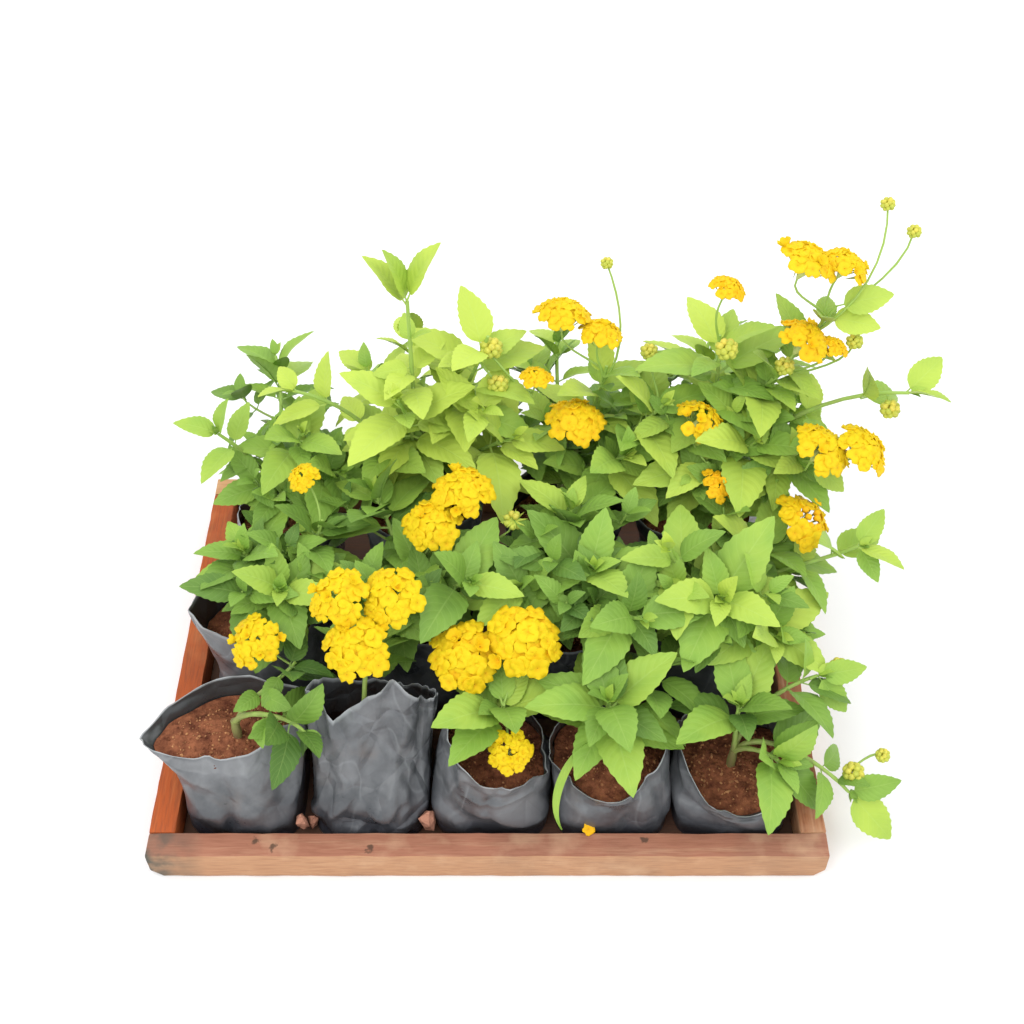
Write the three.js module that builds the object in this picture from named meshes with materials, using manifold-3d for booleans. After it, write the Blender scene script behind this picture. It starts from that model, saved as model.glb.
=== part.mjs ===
// A nursery tray of yellow lantana: a shallow wooden tray with thirteen black film bags standing
// in it, each filled with coco-peat soil and planted with one lantana. Millimetres, +Z up. The
// origin is the middle of the tray's underside, X runs along the tray's long side, and -Y is the
// side the plants are shown from.
//
// Every plant is one fused body of stems, leaves and green buds. Every open flower head, or group
// of heads that touch, is a body of its own that sits on its stalks.
import * as THREE from 'three';
import { mergeVertices } from 'three/addons/utils/BufferGeometryUtils.js';
import Module from 'manifold-3d';

const wasm = await Module();
wasm.setup();

// ---------------------------------------------------------------- driving dimensions
const TRAY = { width: 416, depth: 316, height: 25, rail: 16, floor: 6, bevel: 1.2, worn: 7 };
const CLEAR = 0.3; // gap between pieces that touch
const SEAT = 0.35; // gap between soil and film, and under whatever stands on something

const BAG = { base: 36, belly: 37.2, wall: 0.8, bellyHeight: 26, rimHeight: 79 };
// How a bag's section changes with height, in shares of its rim height: a rounded square of this
// power turns round, the mouth's turn sets in, and its oval starts.
const SECTION = { corner: 4, square: [0.2, 0.6], turned: [0.15, 0.55], oval: 0.3 };
const SOIL = { mound: 4, lumps: 1.6, holeRadius: 4.2, holeDepth: 18, round: 8 };
const TRUNK = { radius: 3.4, height: 16, sides: 4 };
const STEM = { radius: 2.1 };
const STEPS = [[60, 2], [110, 3], [Infinity, 4]];
const STALK = { radius: 0.95, straight: 22, from: 0.93, apart: 0.03 };

// Half the leaf's outline, base to tip: share of the length, share of the half width. Small
// leaves have fewer teeth.
const LARGE_EDGE = [[0.14, 0.15], [0.36, 1], [0.55, 0.78], [0.66, 0.8]];
const SMALL_EDGE = [[0.14, 0.18], [0.42, 1], [0.72, 0.66]];
const LEAF = {
  small: 62, halfWidth: 0.26, thick: 2, middle: 0.4, sunk: 0.8,
  fold: 0.2, rise: 0.16, droop: 0.34, neck: 0.1,
};
const HEAD = { florets: [[27, 4], [39, 5], [60, 6]], seat: 0.3, sway: 0.06, reach: 1.7 };

// ---------------------------------------------------------------- what stands where
// x, y: where the bag stands. rim: half width and half depth of its mouth. turn: the mouth's
// direction, degrees. lean: how far the mouth is shifted. high: rim height above the bag's foot.
// tip: how much higher its +X and +Y sides are. fill: soil height above the foot.
const BAGS = [
  {
    name: 'front_1', x: -152, y: -101, rim: [54, 27], turn: 12,
    lean: [-7, 8], high: 70, tip: [3, 6], fill: 60,
  },
  {
    name: 'front_2', x: -74, y: -101, rim: [39, 11], turn: 3,
    lean: [6, 10], high: 104, tip: [-5, 0], fill: 51,
  },
  {
    name: 'front_3', x: 2, y: -101, rim: [33, 34], turn: -20,
    lean: [4, -6], high: 69, tip: [-20, 4], fill: 44,
  },
  {
    name: 'front_4', x: 77, y: -101, rim: [37, 36], turn: 5,
    lean: [-4, -6], high: 63, tip: [2, 6], fill: 45,
  },
  {
    name: 'front_5', x: 152, y: -101, rim: [40, 36], turn: -25,
    lean: [2, -4], high: 49, tip: [-7, 14], fill: 28,
  },
  {
    name: 'middle_1', x: -144, y: -10, rim: [47, 33], turn: 10,
    lean: [-2, 0], high: 80, tip: [-2, 4], fill: 55,
  },
  {
    name: 'middle_2', x: -48, y: -10, rim: [44, 33], turn: -8,
    lean: [0, 2], high: 71, tip: [4, -3], fill: 51,
  },
  {
    name: 'middle_3', x: 48, y: -10, rim: [44, 33], turn: 12,
    lean: [0, -2], high: 73, tip: [-3, 3], fill: 51,
  },
  {
    name: 'middle_4', x: 144, y: -10, rim: [46, 33], turn: -6,
    lean: [2, 2], high: 71, tip: [5, 2], fill: 51,
  },
  {
    name: 'back_1', x: -144, y: 80, rim: [37, 33], turn: -8,
    lean: [4, 0], high: 62, tip: [-2, 4], fill: 48,
  },
  {
    name: 'back_2', x: -48, y: 80, rim: [44, 33], turn: 6,
    lean: [0, 4], high: 71, tip: [3, 4], fill: 51,
  },
  {
    name: 'back_3', x: 48, y: 80, rim: [45, 33], turn: -10,
    lean: [3, 4], high: 75, tip: [3, 6], fill: 51,
  },
  {
    name: 'back_4', x: 144, y: 80, rim: [46, 33], turn: 8,
    lean: [3, 4], high: 71, tip: [4, 3], fill: 51,
  },
];

// How shoots carry their leaf pairs, from the tip down: share of the shoot's length, share of its
// longest leaf, and how many degrees they open from it. Most are bushy: the topmost pair is small
// and upright, and the next ones open out.
const HABITS = {
  bushy: [[0.985, 0.42, 28], [0.92, 0.78, 52], [0.8, 1, 66], [0.65, 0.96, 76], [0.5, 0.86, 82]],
  arching: [[0.985, 0.85, 40], [0.84, 1, 62], [0.64, 0.9, 72], [0.44, 0.8, 78]],
  starry: [[0.985, 0.9, 34], [0.93, 1, 58], [0.8, 1, 70], [0.62, 0.9, 80]],
  slender: [[0.985, 1, 46], [0.86, 0.75, 36], [0.72, 0.8, 50], [0.55, 1.3, 74]],
};

// One shoot each: the plant it grows on, its leafy tip, the direction the tip points, its habit
// where it isn't bushy, how many leaf pairs it has, its longest leaf, and the turn of its topmost
// pair in degrees.
const SHOOTS = [
  { plant: 'front_1', tip: [-108, -112, 90], aim: [0.5, -0.6, -0.2], pairs: 4, leaf: 39, turn: 30 },
  { plant: 'front_1', tip: [-116, -72, 106], aim: [0.4, 0.2, 0.6], pairs: 3, leaf: 41, turn: 80 },
  { plant: 'front_2', tip: [-70, -70, 113], aim: [0, 0.1, 1], pairs: 3, leaf: 37, turn: 40 },
  { plant: 'front_3', tip: [10, -98, 99], aim: [0, -0.3, 0.8], pairs: 4, leaf: 52, turn: 10 },
  { plant: 'front_4', tip: [72, -100, 105], aim: [-0.1, -0.4, 0.8], pairs: 4, leaf: 56, turn: 20 },
  { plant: 'front_4', tip: [116, -66, 101], aim: [0.4, 0.2, 0.7], pairs: 4, leaf: 56, turn: 70 },
  { plant: 'front_5', tip: [176, -116, 66], aim: [0.4, -0.6, 0.2], pairs: 3, leaf: 56, turn: 0 },
  { plant: 'front_5', tip: [222, -122, 40], aim: [0.7, -0.2, -0.6], pairs: 4, leaf: 39, turn: 40 },
  { plant: 'front_5', tip: [202, -72, 92], aim: [0.6, 0.1, 0.5], pairs: 4, leaf: 49, turn: 20 },
  { plant: 'front_5', tip: [152, -92, 88], aim: [0, 0.1, 0.9], pairs: 3, leaf: 54, turn: 50 },
  { plant: 'middle_1', tip: [-104, 12, 141], aim: [0.2, 0, 0.8], pairs: 4, leaf: 52, turn: 15 },
  { plant: 'middle_1', tip: [-126, -34, 128], aim: [0.1, -0.6, 0.6], pairs: 3, leaf: 45, turn: 50 },
  { plant: 'middle_1', tip: [-152, -6, 131], aim: [-0.3, -0.2, 0.7], pairs: 3, leaf: 45, turn: 60 },
  { plant: 'middle_2', tip: [-44, -12, 125], aim: [0, -0.2, 0.9], pairs: 3, leaf: 47, turn: 35 },
  { plant: 'middle_2', tip: [-10, -38, 140], aim: [0.3, -0.4, 0.6], pairs: 3, leaf: 49, turn: 10 },
  { plant: 'middle_2', tip: [-62, -42, 118], aim: [-0.2, -0.5, 0.6], pairs: 3, leaf: 49, turn: 70 },
  { plant: 'middle_2', tip: [-72, 34, 142], aim: [-0.3, 0.3, 0.7], pairs: 3, leaf: 52, turn: 20 },
  { plant: 'middle_3', tip: [20, -34, 129], aim: [-0.2, -0.2, 0.8], pairs: 3, leaf: 47, turn: 50 },
  { plant: 'middle_3', tip: [64, -24, 135], aim: [0.1, -0.2, 0.8], pairs: 3, leaf: 52, turn: 10 },
  { plant: 'middle_3', tip: [52, 18, 144], aim: [0, 0.3, 0.8], pairs: 3, leaf: 54, turn: 60 },
  { plant: 'middle_3', tip: [92, -60, 133], aim: [0.4, -0.5, 0.6], pairs: 3, leaf: 52, turn: 30 },
  { plant: 'middle_4', tip: [110, -24, 153], aim: [-0.2, -0.3, 0.9], pairs: 4, leaf: 63, turn: 25 },
  { plant: 'middle_4', tip: [142, -44, 131], aim: [0, -0.6, 0.6], pairs: 3, leaf: 58, turn: 70 },
  { plant: 'middle_4', tip: [176, -52, 106], aim: [0.4, -0.6, 0.4], pairs: 3, leaf: 54, turn: 15 },
  {
    plant: 'middle_4', tip: [230, -6, 137], aim: [0.6, -0.1, 0.6],
    habit: 'arching', pairs: 4, leaf: 38, turn: 30,
  },
  { plant: 'middle_4', tip: [180, 6, 121], aim: [0.2, -0.1, 0.8], pairs: 3, leaf: 52, turn: 70 },
  {
    plant: 'back_1', tip: [-170, 56, 173], aim: [-0.5, -0.2, 0.8],
    habit: 'arching', pairs: 3, leaf: 32, turn: 40,
  },
  {
    plant: 'back_2', tip: [-124, 84, 184], aim: [-0.9, 0, 0.25],
    habit: 'arching', pairs: 4, leaf: 36, turn: 20,
  },
  { plant: 'back_1', tip: [-120, 66, 163], aim: [0.3, -0.3, 0.8], pairs: 3, leaf: 47, turn: 70 },
  { plant: 'back_1', tip: [-97, 56, 138], aim: [0.6, -0.4, 0.4], pairs: 3, leaf: 49, turn: 10 },
  { plant: 'back_1', tip: [-150, 164, 143], aim: [-0.2, 0.7, 0.5], pairs: 3, leaf: 47, turn: 60 },
  { plant: 'back_2', tip: [-48, 86, 287], aim: [0, 0, 1], habit: 'slender', pairs: 4, leaf: 28, turn: 5 },
  { plant: 'back_2', tip: [0, 94, 221], aim: [0.2, -0.1, 0.9], pairs: 4, leaf: 56, turn: 10 },
  {
    plant: 'back_2', tip: [-21, 92, 190], aim: [0.2, 0, 0.9],
    habit: 'starry', pairs: 4, leaf: 54, turn: 80,
  },
  { plant: 'back_2', tip: [16, 66, 160], aim: [0.5, -0.4, 0.6], pairs: 3, leaf: 54, turn: 30 },
  { plant: 'back_2', tip: [-56, 62, 197], aim: [-0.2, -0.3, 0.8], pairs: 4, leaf: 52, turn: 60 },
  { plant: 'back_2', tip: [-56, 172, 160], aim: [-0.1, 0.6, 0.6], pairs: 2, leaf: 49, turn: 0 },
  { plant: 'back_3', tip: [76, 102, 189], aim: [0.1, 0, 0.9], pairs: 4, leaf: 45, turn: 45 },
  { plant: 'back_3', tip: [88, 60, 148], aim: [0.3, -0.5, 0.6], pairs: 3, leaf: 54, turn: 70 },
  { plant: 'back_3', tip: [112, 82, 173], aim: [0.3, -0.2, 0.7], pairs: 4, leaf: 52, turn: 15 },
  { plant: 'back_3', tip: [46, 174, 156], aim: [0, 0.7, 0.6], pairs: 2, leaf: 49, turn: 25 },
  { plant: 'back_4', tip: [146, 102, 215], aim: [-0.1, 0, 1], pairs: 4, leaf: 56, turn: 20 },
  { plant: 'back_4', tip: [186, 90, 199], aim: [0.3, -0.1, 0.8], pairs: 3, leaf: 49, turn: 65 },
  { plant: 'back_4', tip: [170, 58, 164], aim: [0.2, -0.4, 0.8], pairs: 3, leaf: 54, turn: 35 },
  { plant: 'back_4', tip: [216, 104, 237], aim: [0.4, 0, 0.8], pairs: 3, leaf: 41, turn: 30 },
  {
    plant: 'back_4', tip: [262, 66, 199], aim: [0.9, -0.2, 0.1],
    habit: 'arching', pairs: 4, leaf: 40, turn: 10,
  },
  { plant: 'back_4', tip: [204, 46, 159], aim: [0.4, -0.5, 0.5], pairs: 4, leaf: 47, turn: 50 },
  { plant: 'back_4', tip: [140, 50, 153], aim: [-0.1, -0.5, 0.7], pairs: 3, leaf: 52, turn: 0 },
  { plant: 'back_4', tip: [152, 170, 150], aim: [0.1, 0.7, 0.5], pairs: 3, leaf: 49, turn: 40 },
];

// Flower heads, each with the shoot that its stalk leaves, from what share of the shoot's length
// where that isn't near the tip, its middle and its width. The heads of one group touch each other.
const HEADS = [
  { node: 'bloom_front_left', heads: [{ shoot: 1, at: [-138, -68, 121], width: 36 }] },
  { node: 'bloom_front_trio', heads: [
    { shoot: 2, at: [-86, -60, 153], width: 38 }, { shoot: 2, at: [-55, -58, 152], width: 40 },
    { shoot: 2, at: [-76, -84, 136], width: 42 }] },
  { node: 'bloom_front_pair', heads: [
    { shoot: 3, at: [-14, -77, 118], width: 46 }, { shoot: 3, at: [22, -72, 126], width: 48 }] },
  { node: 'bloom_front_small', heads: [{ shoot: 3, at: [14, -124, 89], width: 28 }] },
  { node: 'bloom_middle_left', heads: [{ shoot: 10, at: [-114, 26, 165], width: 22 }] },
  { node: 'bloom_middle_pair', heads: [
    { shoot: 13, at: [-34, -4, 154], width: 38 }, { shoot: 13, at: [-16, 13, 165], width: 40 }] },
  { node: 'bloom_middle_right', heads: [{ shoot: 25, at: [198, 14, 137], width: 40 }] },
  { node: 'bloom_back_small', heads: [{ shoot: 32, at: [30, 82, 197], width: 22 }] },
  { node: 'bloom_back_pair', heads: [
    { shoot: 37, at: [48, 114, 221], width: 38 }, { shoot: 37, at: [71, 105, 214], width: 30 }] },
  { node: 'bloom_back_centre', heads: [{ shoot: 37, from: 0.6, at: [56, 74, 167], width: 42 }] },
  { node: 'bloom_back_peach', heads: [{ shoot: 41, at: [146, 98, 255], width: 26 }] },
  { node: 'bloom_right_orange', heads: [
    { shoot: 42, at: [196, 88, 223], width: 38 }, { shoot: 42, at: [216, 88, 217], width: 20 }] },
  { node: 'bloom_right_top', heads: [
    { shoot: 44, at: [194, 106, 269], width: 40 }, { shoot: 44, at: [219, 111, 263], width: 32 }] },
  { node: 'bloom_right_pair', heads: [
    { shoot: 46, at: [207, 36, 179], width: 40 }, { shoot: 46, at: [232, 38, 178], width: 38 }] },
  { node: 'bloom_right_centre', heads: [{ shoot: 47, at: [134, 66, 175], width: 36 }] },
  { node: 'bloom_right_low', heads: [{ shoot: 47, at: [146, 34, 149], width: 26 }] },
];

// Heads still in green bud, and spent ones, which stay part of the plant.
const BUDS = [
  { shoot: 7, at: [224, -116, 52], width: 15 }, { shoot: 7, at: [241, -110, 62], width: 10 },
  { shoot: 8, at: [216, -66, 92], width: 14 }, { shoot: 13, at: [16, 6, 147], width: 14 },
  { shoot: 32, at: [2, 94, 211], width: 16 }, { shoot: 32, at: [6, 82, 191], width: 15 },
  { shoot: 37, at: [74, 126, 253], width: 9 }, { shoot: 39, at: [104, 114, 191], width: 13 },
  { shoot: 41, at: [148, 84, 219], width: 16 }, { shoot: 42, at: [186, 84, 205], width: 14 },
  { shoot: 42, at: [230, 96, 215], width: 12 }, { shoot: 44, at: [240, 126, 297], width: 10 },
  { shoot: 44, at: [260, 126, 277], width: 10 }, { shoot: 45, at: [252, 64, 187], width: 14 },
];

const COLOURS = {
  wood: { color: 0xb06a44, roughness: 0.75 },
  film: { color: 0x3a4044, roughness: 0.4 },
  soil: { color: 0x6e3a26, roughness: 1.0 },
  leaf: { color: 0x7fae3a, roughness: 0.6 },
  petal: { color: 0xffd41e, roughness: 0.55 },
};
const material = Object.fromEntries(Object.entries(COLOURS).map(
  ([key, look]) => [key, new THREE.MeshStandardMaterial({ ...look, metalness: 0 })],
));

// ---------------------------------------------------------------- small helpers
const UP = new THREE.Vector3(0, 0, 1);
const { degToRad, lerp, smoothstep } = THREE.MathUtils;
const vector = (values) => new THREE.Vector3(...values);

// A fixed random number from 0 to 1 for a list of whole numbers.
function chance(...keys) {
  let hash = 2166136261;
  for (const key of keys) {
    hash = Math.imul(hash ^ key, 16777619) >>> 0;
    hash = (hash ^ (hash >>> 13)) >>> 0;
    hash = Math.imul(hash, 1540483477) >>> 0;
    hash = (hash ^ (hash >>> 15)) >>> 0;
  }
  return hash / 4294967296;
}
const spread = (...keys) => 2 * chance(...keys) - 1;

// A closed geometry as a solid that can be joined and cut.
function solidOf(geometry) {
  const bare = geometry.index ? geometry.toNonIndexed() : geometry.clone();
  bare.deleteAttribute('normal');
  bare.deleteAttribute('uv');
  const merged = mergeVertices(bare, 1e-4);
  return new wasm.Manifold(new wasm.Mesh({
    numProp: 3,
    vertProperties: new Float32Array(merged.attributes.position.array),
    triVerts: new Uint32Array(merged.index.array),
  }));
}

// Points and triangles as a geometry.
function geometryOf(points, triangles) {
  const geometry = new THREE.BufferGeometry();
  const numbers = points.flatMap((point) => point.toArray());
  geometry.setAttribute('position', new THREE.Float32BufferAttribute(numbers, 3));
  geometry.setIndex(triangles.flat());
  return geometry;
}

// A solid back as a mesh of the given name.
function meshOf(name, solid, look) {
  const { vertProperties, triVerts } = solid.getMesh();
  const geometry = new THREE.BufferGeometry();
  geometry.setAttribute('position', new THREE.Float32BufferAttribute(vertProperties, 3));
  geometry.setIndex(new THREE.Uint32BufferAttribute(triVerts, 1));
  const mesh = new THREE.Mesh(geometry, look);
  mesh.name = name;
  return mesh;
}

// ---------------------------------------------------------------- what is already standing
// Everything placed so far, so that stems and leaves can be bent clear of it.
const standing = [];

function keep(node, solid) {
  standing.push({ node, solid, box: solid.boundingBox() });
  return solid;
}

const near = (a, b) => [0, 1, 2].every((i) => a.min[i] < b.max[i] + CLEAR && b.min[i] < a.max[i] + CLEAR);
const neighbours = (solid) => {
  const box = solid.boundingBox();
  return standing.filter((other) => near(box, other.box));
};

// Whether a solid stays clear of the ground and of every other node.
function isClear(node, solid) {
  if (solid.boundingBox().min[2] < CLEAR) return false;
  const others = neighbours(solid).filter((other) => other.node !== node);
  return others.every((other) => solid.minGap(other.solid, CLEAR) >= CLEAR);
}

// Whether a solid crosses nothing of its own node.
function crossesNothing(node, solid) {
  const own = neighbours(solid).filter((other) => other.node === node);
  return own.every((other) => solid.intersect(other.solid).isEmpty());
}

// ---------------------------------------------------------------- tray
// A board seen from its long side, its lower corners worn off, and bevelled all round.
function board(name, [length, thickness, height], worn, [x, y], alongY = false) {
  const half = length / 2;
  const outline = worn
    ? [[worn - half, 0], [half - worn, 0], [half, worn], [half, height], [-half, height], [-half, worn]]
    : [[-half, 0], [half, 0], [half, height], [-half, height]];
  const bevel = TRAY.bevel;
  const face = new THREE.Shape(outline.map(([u, v]) => new THREE.Vector2(u, v)));
  const geometry = new THREE.ExtrudeGeometry(face, {
    depth: thickness - 2 * bevel,
    bevelSize: bevel,
    bevelThickness: bevel,
    bevelOffset: -bevel,
    bevelSegments: 1,
  });
  geometry.translate(0, 0, bevel - thickness / 2).rotateX(Math.PI / 2);
  if (alongY) geometry.rotateZ(Math.PI / 2);
  geometry.translate(x, y, 0);
  return meshOf(name, keep(name, solidOf(geometry)), material.wood);
}

function makeTray() {
  const { width, depth, height, rail, floor, worn } = TRAY;
  const [sideX, endY] = [(width - rail) / 2, (depth - rail) / 2];
  const between = depth - 2 * rail - 2 * CLEAR;
  const inside = width - 2 * rail - 2 * CLEAR;
  return [
    board('tray_floor', [inside, between, floor], 0, [0, 0]),
    board('tray_front_rail', [width, rail, height], worn, [0, -endY]),
    board('tray_back_rail', [width, rail, height], worn, [0, endY]),
    board('tray_left_rail', [between, rail, height], 0, [-sideX, 0], true),
    board('tray_right_rail', [between, rail, height], 0, [sideX, 0], true),
  ];
}

// ---------------------------------------------------------------- bags and soil
const bagFoot = TRAY.floor + CLEAR;

// Where a point of a round bag goes on a standing one: the foot is a rounded square, and the mouth
// is turned, pressed to a pointed oval, leans over and is higher on one side. Near the middle the
// soil stays round and upright.
function onBag(bag, radius, angle, z) {
  const share = z / BAG.rimHeight;
  const outer = smoothstep(radius, SOIL.round, BAG.base);
  const oval = smoothstep(share, SECTION.oval, 1) * outer;
  const [cosine, sine] = [Math.abs(Math.cos(angle)), Math.abs(Math.sin(angle))];
  const cornered = Math.pow(cosine ** SECTION.corner + sine ** SECTION.corner, -1 / SECTION.corner);
  const reach = radius * lerp(1, cornered, (1 - smoothstep(share, ...SECTION.square)) * outer);
  const x = reach * lerp(1, bag.rim[0] / BAG.belly, oval) * Math.cos(angle);
  const y = reach * lerp(1, bag.rim[1] / BAG.belly, oval) * Math.sin(angle) * Math.pow(sine, 0.7 * oval);
  const turn = degToRad(bag.turn) * smoothstep(share, ...SECTION.turned);
  const px = x * Math.cos(turn) - y * Math.sin(turn);
  const py = x * Math.sin(turn) + y * Math.cos(turn);
  const rim = bag.high + (bag.tip[0] * px + bag.tip[1] * py) / BAG.belly;
  const above = (z - bag.fill) / (BAG.rimHeight - bag.fill);
  const leaning = share * share * outer;
  return new THREE.Vector3(
    bag.x + px + bag.lean[0] * leaning,
    bag.y + py + bag.lean[1] * leaning,
    bagFoot + (above > 0 ? lerp(bag.fill, rim, above) : z),
  );
}

const filmRadius = (z) => lerp(BAG.base, BAG.belly, smoothstep(z, 0, BAG.bellyHeight));

// A round body of the profile's [radius, height] points, shaped like the bag. lift raises a point
// by its radius, angle and height. Bands that run down are split into triangles the same way as
// bands that run up, so that film and soil lie evenly against each other.
function spunLikeBag(bag, profile, segments, lift = () => 0) {
  const points = [];
  const rings = profile.map(([radius, z]) => {
    const corners = Array.from({ length: radius > 0 ? segments : 1 }, (_, i) => {
      const angle = (2 * Math.PI * i) / segments;
      const raised = new THREE.Vector3(0, 0, lift(radius, angle, z));
      return points.push(onBag(bag, radius, angle, z).add(raised)) - 1;
    });
    return (i) => corners[i % corners.length];
  });
  const triangles = [];
  for (let j = 0; j < rings.length - 1; j++) {
    const down = profile[j + 1][1] < profile[j][1];
    for (let i = 0; i < segments; i++) {
      const quad = [rings[j](i), rings[j](i + 1), rings[j + 1](i + 1), rings[j + 1](i)];
      const [a, b, c, d] = down ? [quad[1], quad[2], quad[3], quad[0]] : quad;
      triangles.push([a, b, c], [a, c, d]);
    }
  }
  return solidOf(geometryOf(points, triangles.filter((corners) => new Set(corners).size === 3)));
}

function makeBag(bag, segments) {
  const heights = [0, BAG.bellyHeight, bag.fill, BAG.rimHeight];
  const outer = heights.map((z) => [filmRadius(z), z]);
  const inner = heights.map((z) => [filmRadius(z) - BAG.wall, Math.max(z, BAG.wall)]).reverse();
  const name = 'bag_' + bag.name;
  const solid = spunLikeBag(bag, [[0, 0], ...outer, ...inner, [0, BAG.wall]], segments);
  return meshOf(name, keep(name, solid), material.film);
}

// The soil fills the bag to its line, with a lumpy top and a plain round hole for the trunk.
function makeSoil(bag, index, segments) {
  const inset = BAG.wall + SEAT;
  const side = [inset, BAG.bellyHeight, bag.fill].map((z) => [filmRadius(z) - inset, z]);
  const profile = [
    [0, inset], ...side, [SOIL.holeRadius, bag.fill],
    [SOIL.holeRadius, bag.fill - SOIL.holeDepth], [0, bag.fill - SOIL.holeDepth],
  ];
  const lift = (radius, angle, z) => {
    if (z < bag.fill || radius > BAG.belly - inset - 1) return 0;
    const lump = radius > SOIL.round ? SOIL.lumps * Math.sin(3 * angle + index) : 0;
    return SOIL.mound * (1 - radius / BAG.belly) + lump;
  };
  const name = 'soil_' + bag.name;
  return meshOf(name, keep(name, spunLikeBag(bag, profile, segments, lift)), material.soil);
}

// The point that is so far above the middle of a bag's soil.
function overSoil(bag, above) {
  return onBag(bag, 0, 0, bag.fill).add(new THREE.Vector3(0, 0, SOIL.mound + above));
}

// ---------------------------------------------------------------- stems
// How many straight pieces a stem is made of.
function stepsOf(curve) {
  if (curve.isLineCurve3) return 1;
  const length = curve.getLength();
  return STEPS.find(([upTo]) => length < upTo)[1];
}

// A stem is its solid and the points of its middle line, equally far apart.
function growTube(curve, radius) {
  const steps = stepsOf(curve);
  const corner = new THREE.Vector2(radius, 0);
  const around = new THREE.Vector2();
  const section = new THREE.Shape(
    [0, 1, 2].map((i) => corner.clone().rotateAround(around, (2 * Math.PI * i) / 3)),
  );
  const geometry = new THREE.ExtrudeGeometry(section, { steps, extrudePath: curve, bevelEnabled: false });
  return { solid: solidOf(geometry), points: curve.getSpacedPoints(steps) };
}

// The place and direction at a share of a stem's length.
function onStem({ points }, share) {
  const step = Math.min(Math.floor(share * (points.length - 1)), points.length - 2);
  const [a, b] = [points[step], points[step + 1]];
  return {
    at: a.clone().lerp(b, share * (points.length - 1) - step),
    heading: b.clone().sub(a).normalize(),
  };
}

function makeTrunk(bag) {
  const length = TRUNK.height + SOIL.mound + SOIL.holeDepth - SEAT;
  const geometry = new THREE.CylinderGeometry(TRUNK.radius * 0.8, TRUNK.radius, length, TRUNK.sides);
  const { x, y, z } = overSoil(bag, TRUNK.height - length / 2);
  return solidOf(geometry.rotateX(Math.PI / 2).translate(x, y, z));
}

// A curve from one place and heading to another. bow moves its middle sideways and up.
function bentCurve(start, leave, end, arrive, [aside, up]) {
  const flat = new THREE.Vector3(end.y - start.y, start.x - end.x, 0).normalize();
  const shift = flat.multiplyScalar(aside).addScaledVector(UP, up);
  const first = start.clone().add(leave).add(shift);
  const second = end.clone().sub(arrive).add(shift);
  return new THREE.CubicBezierCurve3(start, first, second, end);
}

function shootCurve(shoot, index, bow) {
  const bag = BAGS.find(({ name }) => name === shoot.plant);
  const start = overSoil(bag, TRUNK.height * (0.35 + 0.5 * chance(index, 7)));
  const tip = vector(shoot.tip);
  const reach = start.distanceTo(tip);
  const leave = new THREE.Vector3((tip.x - start.x) * 0.12, (tip.y - start.y) * 0.12, reach * 0.42);
  return bentCurve(start, leave, tip, vector(shoot.aim).setLength(reach * 0.32), bow);
}

// The stalk of a head or bud, from high on its shoot to its seat.
function stalkCurve(shoot, from, seat, axis, bow) {
  const { at, heading } = onStem(shoot, from);
  const reach = at.distanceTo(seat);
  if (reach < STALK.straight && bow.every((value) => value === 0)) return new THREE.LineCurve3(at, seat);
  const arrive = axis.clone().multiplyScalar(reach * 0.4);
  return bentCurve(at, heading.multiplyScalar(reach * 0.3), seat, arrive, bow);
}

// Bows for a stem that would hit something, sideways and up, in millimetres.
const BOWS = [
  [0, 0], [6, 0], [-6, 0], [0, 8], [12, 0], [-12, 0], [9, 9], [-9, 9], [0, 16],
  [20, 0], [-20, 0], [18, 14], [-18, 14], [28, 6], [-28, 6], [0, 28], [0, -8], [12, -8], [-12, -8],
];

// A stem with the first bow that is clear of the other nodes.
function growStem(node, radius, curveFor) {
  for (const bow of BOWS) {
    const stem = growTube(curveFor(bow), radius);
    if (isClear(node, stem.solid)) return stem;
  }
  throw new Error('no room for a stem of ' + node);
}

// ---------------------------------------------------------------- leaves
// A leaf's own axes: along its length, across, and its upper face.
function leafAxes(heading, turn, open) {
  const guide = Math.abs(heading.z) > 0.9 ? new THREE.Vector3(0, 1, 0) : UP;
  const e1 = new THREE.Vector3().crossVectors(guide, heading).normalize();
  const e2 = new THREE.Vector3().crossVectors(heading, e1);
  const out = e1.multiplyScalar(Math.cos(turn)).addScaledVector(e2, Math.sin(turn));
  out.z *= out.z < 0 ? 0.4 : 0.8;
  out.normalize();
  const along = out.multiplyScalar(Math.sin(open)).addScaledVector(heading, Math.cos(open)).normalize();
  const face = heading.clone().multiplyScalar(0.45).addScaledVector(UP, 0.6);
  face.addScaledVector(along, -face.dot(along)).normalize();
  return { along, across: new THREE.Vector3().crossVectors(face, along), face };
}

// The blade's toothed edge is shared by both faces, and its midrib stands out of each. from is the
// share of its length that it starts at.
function leafSolid(base, axes, length, bend, from = 0) {
  const half = length * LEAF.halfWidth;
  const edge = length < LEAF.small ? SMALL_EDGE : LARGE_EDGE;
  const spot = (share, across, lift) => {
    const arched = length * (LEAF.rise - bend * share) * share;
    return base.clone()
      .addScaledVector(axes.along, length * share - LEAF.sunk)
      .addScaledVector(axes.across, across)
      .addScaledVector(axes.face, arched + LEAF.fold * Math.abs(across) + lift);
  };
  const points = [
    spot(from, 0, 0), ...edge.map(([share, wide]) => spot(share, wide * half, 0)),
    spot(1, 0, 0), ...edge.map(([share, wide]) => spot(share, -wide * half, 0)).reverse(),
  ];
  const count = points.length;
  points.push(spot(LEAF.middle, 0, LEAF.thick / 2), spot(LEAF.middle, 0, -LEAF.thick / 2));
  const triangles = [
    [0, count - 1, 1], [count, 1, count - 1], [count + 1, count - 1, 0], [count + 1, 0, 1],
  ];
  for (let i = 1; i < count - 1; i++) triangles.push([count, i + 1, i], [count + 1, i, i + 1]);
  return solidOf(geometryOf(points, triangles));
}

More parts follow.
